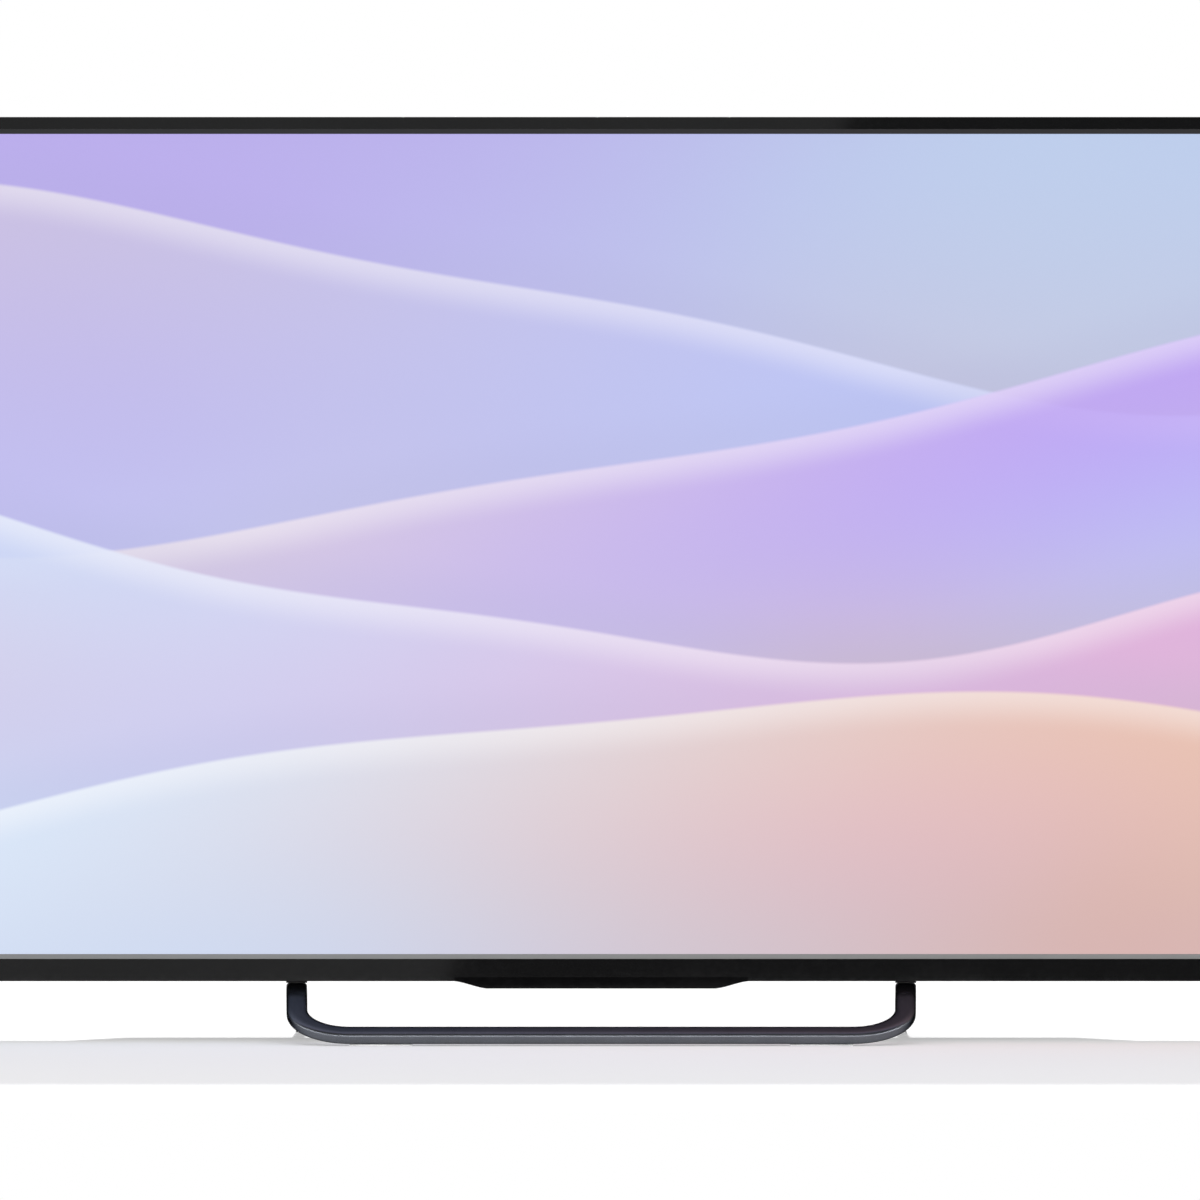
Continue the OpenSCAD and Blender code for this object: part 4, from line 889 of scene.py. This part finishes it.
def key_strokes(name, r):
    """The plain sign on a key, as lines about its middle, seen from the back."""
    ring = [(r * math.sin(a), r * math.cos(a)) for a in (math.radians(40 + 280 * i / 20) for i in range(21))]
    box = [(-0.2 * r, 0.9 * r), (-r, 0.9 * r), (-r, -0.9 * r), (-0.2 * r, -0.9 * r)]
    return {
        "key_power": [ring, [(0, 0.15 * r), (0, 1.25 * r)]],
        "key_source": [box, [(1.1 * r, 0), (-0.4 * r, 0)], [(0.1 * r, 0.5 * r), (-0.45 * r, 0), (0.1 * r, -0.5 * r)]],
        "key_menu": [[(-r, h * r), (r, h * r)] for h in (-0.75, 0.0, 0.75)],
        "key_channel_up": [[(-r, -0.4 * r), (0, 0.5 * r), (r, -0.4 * r)]],
        "key_channel_down": [[(-r, 0.4 * r), (0, -0.5 * r), (r, 0.4 * r)]],
        "key_volume_up": [[(-r, 0), (r, 0)], [(0, -r), (0, -0.26 * r)], [(0, 0.26 * r), (0, r)]],
        "key_volume_down": [[(-r, 0), (r, 0)]],
    }[name]


class TELEVISION_OT_keys(bpy.types.Operator):
    """Makes the seven keys with rounded caps and plain signs"""

    bl_idname = "television.keys"
    bl_label = "Keys"

    def execute(self, context):
        look = context.scene.tv_cover
        reach, sunk, proud = 2.1 * MM, 0.1 * MM, 0.06 * MM
        for name in KEYS:
            piece = rounded_copy(name, look.key_round, 3, name + "_cap")
            dress(piece, name, "key_black", name)
            low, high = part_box(name)
            middle = (low + high) / 2
            bm = bmesh.new()
            for path in key_strokes(name, reach):
                moved = [(middle.x + x, middle.z + z) for x, z in path]
                stroke(bm, moved, look.mark_width, high.y - sunk, high.y + proud)
            dress(piece_from(name + "_sign", bm), name, "key_mark")
        return {"FINISHED"}


def screw(name, head_r, head_h, shank_r, length):
    """A pan-head screw with a cross recess, its seat at the origin and its head along +Z."""
    bm = bmesh.new()
    dome = [
        (head_r * math.cos(a), head_h * (0.42 + 0.58 * math.sin(a))) for a in (math.radians(15 * i) for i in range(7))
    ]
    dome[-1] = (0.0, head_h)
    thread = []
    pitch = 0.9 * shank_r
    turns = max(2, int(length / pitch))
    for i in range(turns):
        z = -length + length * i / turns
        thread += [(0.78 * shank_r, z + 0.05 * pitch), (shank_r, z + 0.5 * pitch)]
    profile = [(0.0, -length)] + thread + [(0.8 * shank_r, 0.0), (0.94 * head_r, 0.0), (head_r, 0.12 * head_h)] + dome
    lathe(bm, profile, 24)
    body = piece_from(name, bm)
    cut = bmesh.new()
    for size in ((1.2 * head_r, 0.24 * head_r), (0.24 * head_r, 1.2 * head_r)):
        made = bmesh.ops.create_cube(cut, size=1.0)["verts"]
        for v in made:
            narrow = 0.72 if v.co.z < 0 else 1.0
            v.co = Vector((v.co.x * size[0] * narrow, v.co.y * size[1] * narrow, head_h * (1.0 + 1.1 * v.co.z)))
    cutter = piece_from(name + "_cut", cut)
    recess = body.modifiers.new("cross_recess", "BOOLEAN")
    recess.object = cutter
    recess.operation = "DIFFERENCE"
    recess.solver = "EXACT"
    recess.use_self = True
    bake(body)
    bpy.data.objects.remove(cutter)
    smooth(body, 35)
    return body


class TELEVISION_OT_screws(bpy.types.Operator):
    """Puts cross-recessed screws in the cover, the stand, the brackets and the boards"""

    bl_idname = "television.screws"
    bl_label = "Screws"

    def execute(self, context):
        tree = scatter_tree()
        first_seed = 11
        for seed, (node, axis, head_h, shank_r) in enumerate(
            (
                ("rear_cover_screws", 1, 2.2 * MM, 1.6 * MM),
                ("bracket_screws", 1, 2.0 * MM, 2.0 * MM),
                ("board_screws", 1, 1.8 * MM, 1.25 * MM),
                ("stand_screws", 2, 2.4 * MM, 2.0 * MM),
            ),
            first_seed,
        ):
            boxes = islands(node)
            low, high = boxes[0]
            across = 0 if axis == 1 else 1
            head_r = (high[across] - low[across]) / 2
            length = high[axis] - low[axis] - head_h
            places = []
            for low, high in boxes:
                place = (low + high) / 2
                place[axis] = high[axis] - head_h if axis == 1 else low[axis] + head_h
                places.append(place)
            source = screw(node + "_one", head_r, head_h, shank_r, length)
            facing = (-math.pi / 2, 0, 0) if axis == 1 else (math.pi, 0, 0)
            piece = run_tree(
                points_mesh(node + "_set", places),
                tree,
                {"Copy": source, "Facing": facing, "Seed": seed, "Finish": finish_of("screw_steel")},
            )
            bpy.data.objects.remove(source)
            dress(piece, "set", "screw_steel", node)
        return {"FINISHED"}


class TELEVISION_OT_sockets(bpy.types.Operator):
    """Lines the sockets with rows of gold contacts"""

    bl_idname = "television.sockets"
    bl_label = "Socket contacts"

    def execute(self, context):
        tree = contact_tree()
        rows = {"hdmi_contacts": [], "usb_contacts": [], "lan_contacts": []}
        depth, half_gap = 7.2 * MM, 0.63 * MM
        for low, high in islands("hdmi_sockets"):
            middle = (low + high) / 2
            for side in (-1, 1):
                rows["hdmi_contacts"].append(Vector((high.x - depth, middle.y + side * half_gap, middle.z)))
        depth, rise = 6.4 * MM, 3.43 * MM
        for low, high in islands("usb_sockets"):
            rows["usb_contacts"].append(Vector((high.x - depth, low.y + rise, (low.z + high.z) / 2)))
        depth, rise = 7.5 * MM, 2.75 * MM
        low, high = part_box("lan_socket")
        rows["lan_contacts"].append(Vector((high.x - depth, low.y + rise, (low.z + high.z) / 2)))
        sizes = {
            "hdmi_contacts": (10, 0.9, (8.6, 0.1, 0.45)),
            "usb_contacts": (4, 7 / 3, (8.4, 0.12, 1.1)),
            "lan_contacts": (8, 1.02, (11.5, 0.34, 0.34)),
        }
        for name, places in rows.items():
            count, pitch, size = sizes[name]
            half_row = Vector((0, 0, (count - 1) / 2 * pitch * MM))
            piece = run_tree(
                points_mesh(name, [p - half_row for p in places]),
                tree,
                {
                    "Count": count,
                    "Step": (0.0, 0.0, pitch * MM),
                    "Size": tuple(s * MM for s in size),
                    "Finish": finish_of("gold_contact"),
                },
            )
            dress(piece, "set", "gold_contact")
        return {"FINISHED"}


class TELEVISION_OT_stage(bpy.types.Operator):
    """Makes the pale floor, the light and the camera"""

    bl_idname = "television.stage"
    bl_label = "Stage"

    def execute(self, context):
        look = context.scene.tv_stage
        scene = context.scene
        scene.view_settings.view_transform = "Standard"
        self.floor(look)
        self.world(look)
        self.lamps(look)
        camera = new_piece("photo_camera", bpy.data.cameras.new("photo_camera"))
        camera.location = look.camera_place
        camera.rotation_euler = (math.pi / 2, 0, 0)
        camera.data.sensor_width = 36
        camera.data.lens = look.lens
        camera.data.clip_end = 200
        scene.camera = camera
        return {"FINISHED"}

    def floor(self, look):
        """A pale floor, lifted a little where it is seen so that it runs into the white behind it."""
        side, front, lift = 4.0, -0.85, 0.23
        bm = bmesh.new()
        edges = ((-side, front), (side, front), (side, side), (-side, side))
        bm.faces.new([bm.verts.new((x, y, 0.0)) for x, y in edges])
        floor = piece_from("pale_floor", bm)
        material, made = finish("pale_floor", look.floor, 0.01, 0.8, 0.04, patch=0.6, grain=40, bump=0.0)
        tree, skin = made.tree, made.skin
        skin.inputs["Specular IOR Level"].default_value = 0.0
        light = put(tree, "ShaderNodeLightPath").outputs
        seen = calc(tree, "MAXIMUM", light["Is Camera Ray"], light["Is Glossy Ray"])
        seen = calc(tree, "MAXIMUM", seen, light["Is Transmission Ray"])
        skin.inputs["Emission Color"].default_value = (1, 1, 1, 1)
        tree.links.new(calc(tree, "MULTIPLY", seen, lift), skin.inputs["Emission Strength"])
        floor.data.materials.append(material)

    def world(self, look):
        """White to the camera, a dim room in reflections and an even fill for the rest."""
        world = bpy.data.worlds.new("studio")
        world.use_nodes = True
        tree = world.node_tree
        tree.nodes.clear()
        out = put(tree, "ShaderNodeOutputWorld")
        light = put(tree, "ShaderNodeLightPath").outputs
        way = put(tree, "ShaderNodeSeparateXYZ", {"Vector": put(tree, "ShaderNodeTexCoord").outputs["Generated"]})
        dim_front, bright_back = 0.11, 0.6
        mirrored = eased(tree, way.outputs["Y"], -0.35, 0.5, dim_front, bright_back)
        sharp = calc(tree, "MAXIMUM", light["Is Glossy Ray"], light["Is Transmission Ray"])
        ahead = eased(tree, way.outputs["Y"], -1.0, -0.2, look.front_fill, 0.0)
        fill = calc(tree, "ADD", eased(tree, way.outputs["Y"], 0.0, 1.0, look.fill, 1.5 * look.fill), ahead)
        soft = calc(tree, "MULTIPLY", calc(tree, "SUBTRACT", 1.0, sharp), fill)
        level = calc(tree, "ADD", calc(tree, "MULTIPLY", sharp, mirrored), soft)
        seen = calc(tree, "MAXIMUM", level, light["Is Camera Ray"])
        back = put(tree, "ShaderNodeBackground", {"Color": (1, 1, 1, 1), "Strength": seen})
        tree.links.new(back.outputs["Background"], out.inputs["Surface"])
        bpy.context.scene.world = world

    def lamps(self, look):
        """Softboxes that draw the highlights, and a lamp behind that draws the shadow."""
        low, high = Vector((-0.146, -3.03, -0.074)), Vector((0.236, -3.03, 0.744))
        rise = (high - low).normalized()
        wide, tall = 1.6, 2.6
        middle = (low + high) / 2 + Vector((-rise.z, 0, rise.x)) * wide / 2
        self.softbox("side_softbox", middle, Vector((0, 1, 0)), rise, wide, tall, look.softbox)
        away, height, wide, tall = 2.6, 0.3, 3.0, 0.22
        for name, way in (("front_strip", 0), ("left_strip", -62), ("right_strip", 62)):
            aim = Vector((math.sin(math.radians(way)), -math.cos(math.radians(way)), 0))
            place = away * aim + Vector((0, 0, height))
            self.softbox(name, place, -aim, Vector((0, 0, 1)), wide, tall, look.strips)
        above, target = Vector((0, -2.4, 2.2)), Vector((0, 0, 0.2))
        toward = (target - above).normalized()
        wide, tall = 2.8, 0.7
        self.softbox("top_softbox", above, toward, Vector((1, 0, 0)).cross(toward), wide, tall, look.top_light)
        sun = new_piece("back_light", bpy.data.lights.new("back_light", "SUN"))
        spread, slant = math.radians(3.5), math.radians(-43)
        sun.data.energy = look.back_light
        sun.data.angle = spread
        sun.rotation_euler = (slant, 0, 0)

    def softbox(self, name, place, facing, rise, wide, tall, brightness):
        """A rectangle of even light by its middle, the way it faces, the way its tall side runs and its size."""
        box = new_piece(name, bpy.data.lights.new(name, "AREA"))
        box.data.shape = "RECTANGLE"
        box.data.size, box.data.size_y = wide, tall
        box.data.energy = brightness * math.pi * wide * tall
        turn = Matrix((rise.cross(-facing), rise, -facing)).transposed()
        box.matrix_world = Matrix.Translation(place) @ turn.to_4x4()
        box.visible_camera = False


STEPS = [
    TELEVISION_OT_finishes,
    TELEVISION_OT_bezel,
    TELEVISION_OT_stand,
    TELEVISION_OT_cover,
    TELEVISION_OT_keys,
    TELEVISION_OT_screws,
    TELEVISION_OT_sockets,
    TELEVISION_OT_stage,
]


class TELEVISION_PT_sidebar(bpy.types.Panel):
    """Lists the steps that dress the television"""

    bl_idname = "TELEVISION_PT_sidebar"
    bl_label = "Television"
    bl_space_type = "VIEW_3D"
    bl_region_type = "UI"
    bl_category = "Television"

    def draw(self, context):
        for step in STEPS:
            self.layout.operator(step.bl_idname)
        for name, group in SETTINGS.items():
            box = self.layout.box()
            for field in group.__annotations__:
                box.prop(getattr(context.scene, name), field)


CLASSES = [*SETTINGS.values(), *STEPS, TELEVISION_PT_sidebar]


def register():
    for kind in CLASSES:
        bpy.utils.register_class(kind)
    for name, group in SETTINGS.items():
        setattr(bpy.types.Scene, name, bpy.props.PointerProperty(type=group))


def unregister():
    for name in SETTINGS:
        delattr(bpy.types.Scene, name)
    for kind in reversed(CLASSES):
        bpy.utils.unregister_class(kind)


def main():
    register()
    bpy.ops.television.finishes()
    bpy.ops.television.bezel()
    bpy.ops.television.stand()
    bpy.ops.television.cover()
    bpy.ops.television.keys()
    bpy.ops.television.screws()
    bpy.ops.television.sockets()
    bpy.ops.television.stage()


if __name__ == "__main__":
    main()
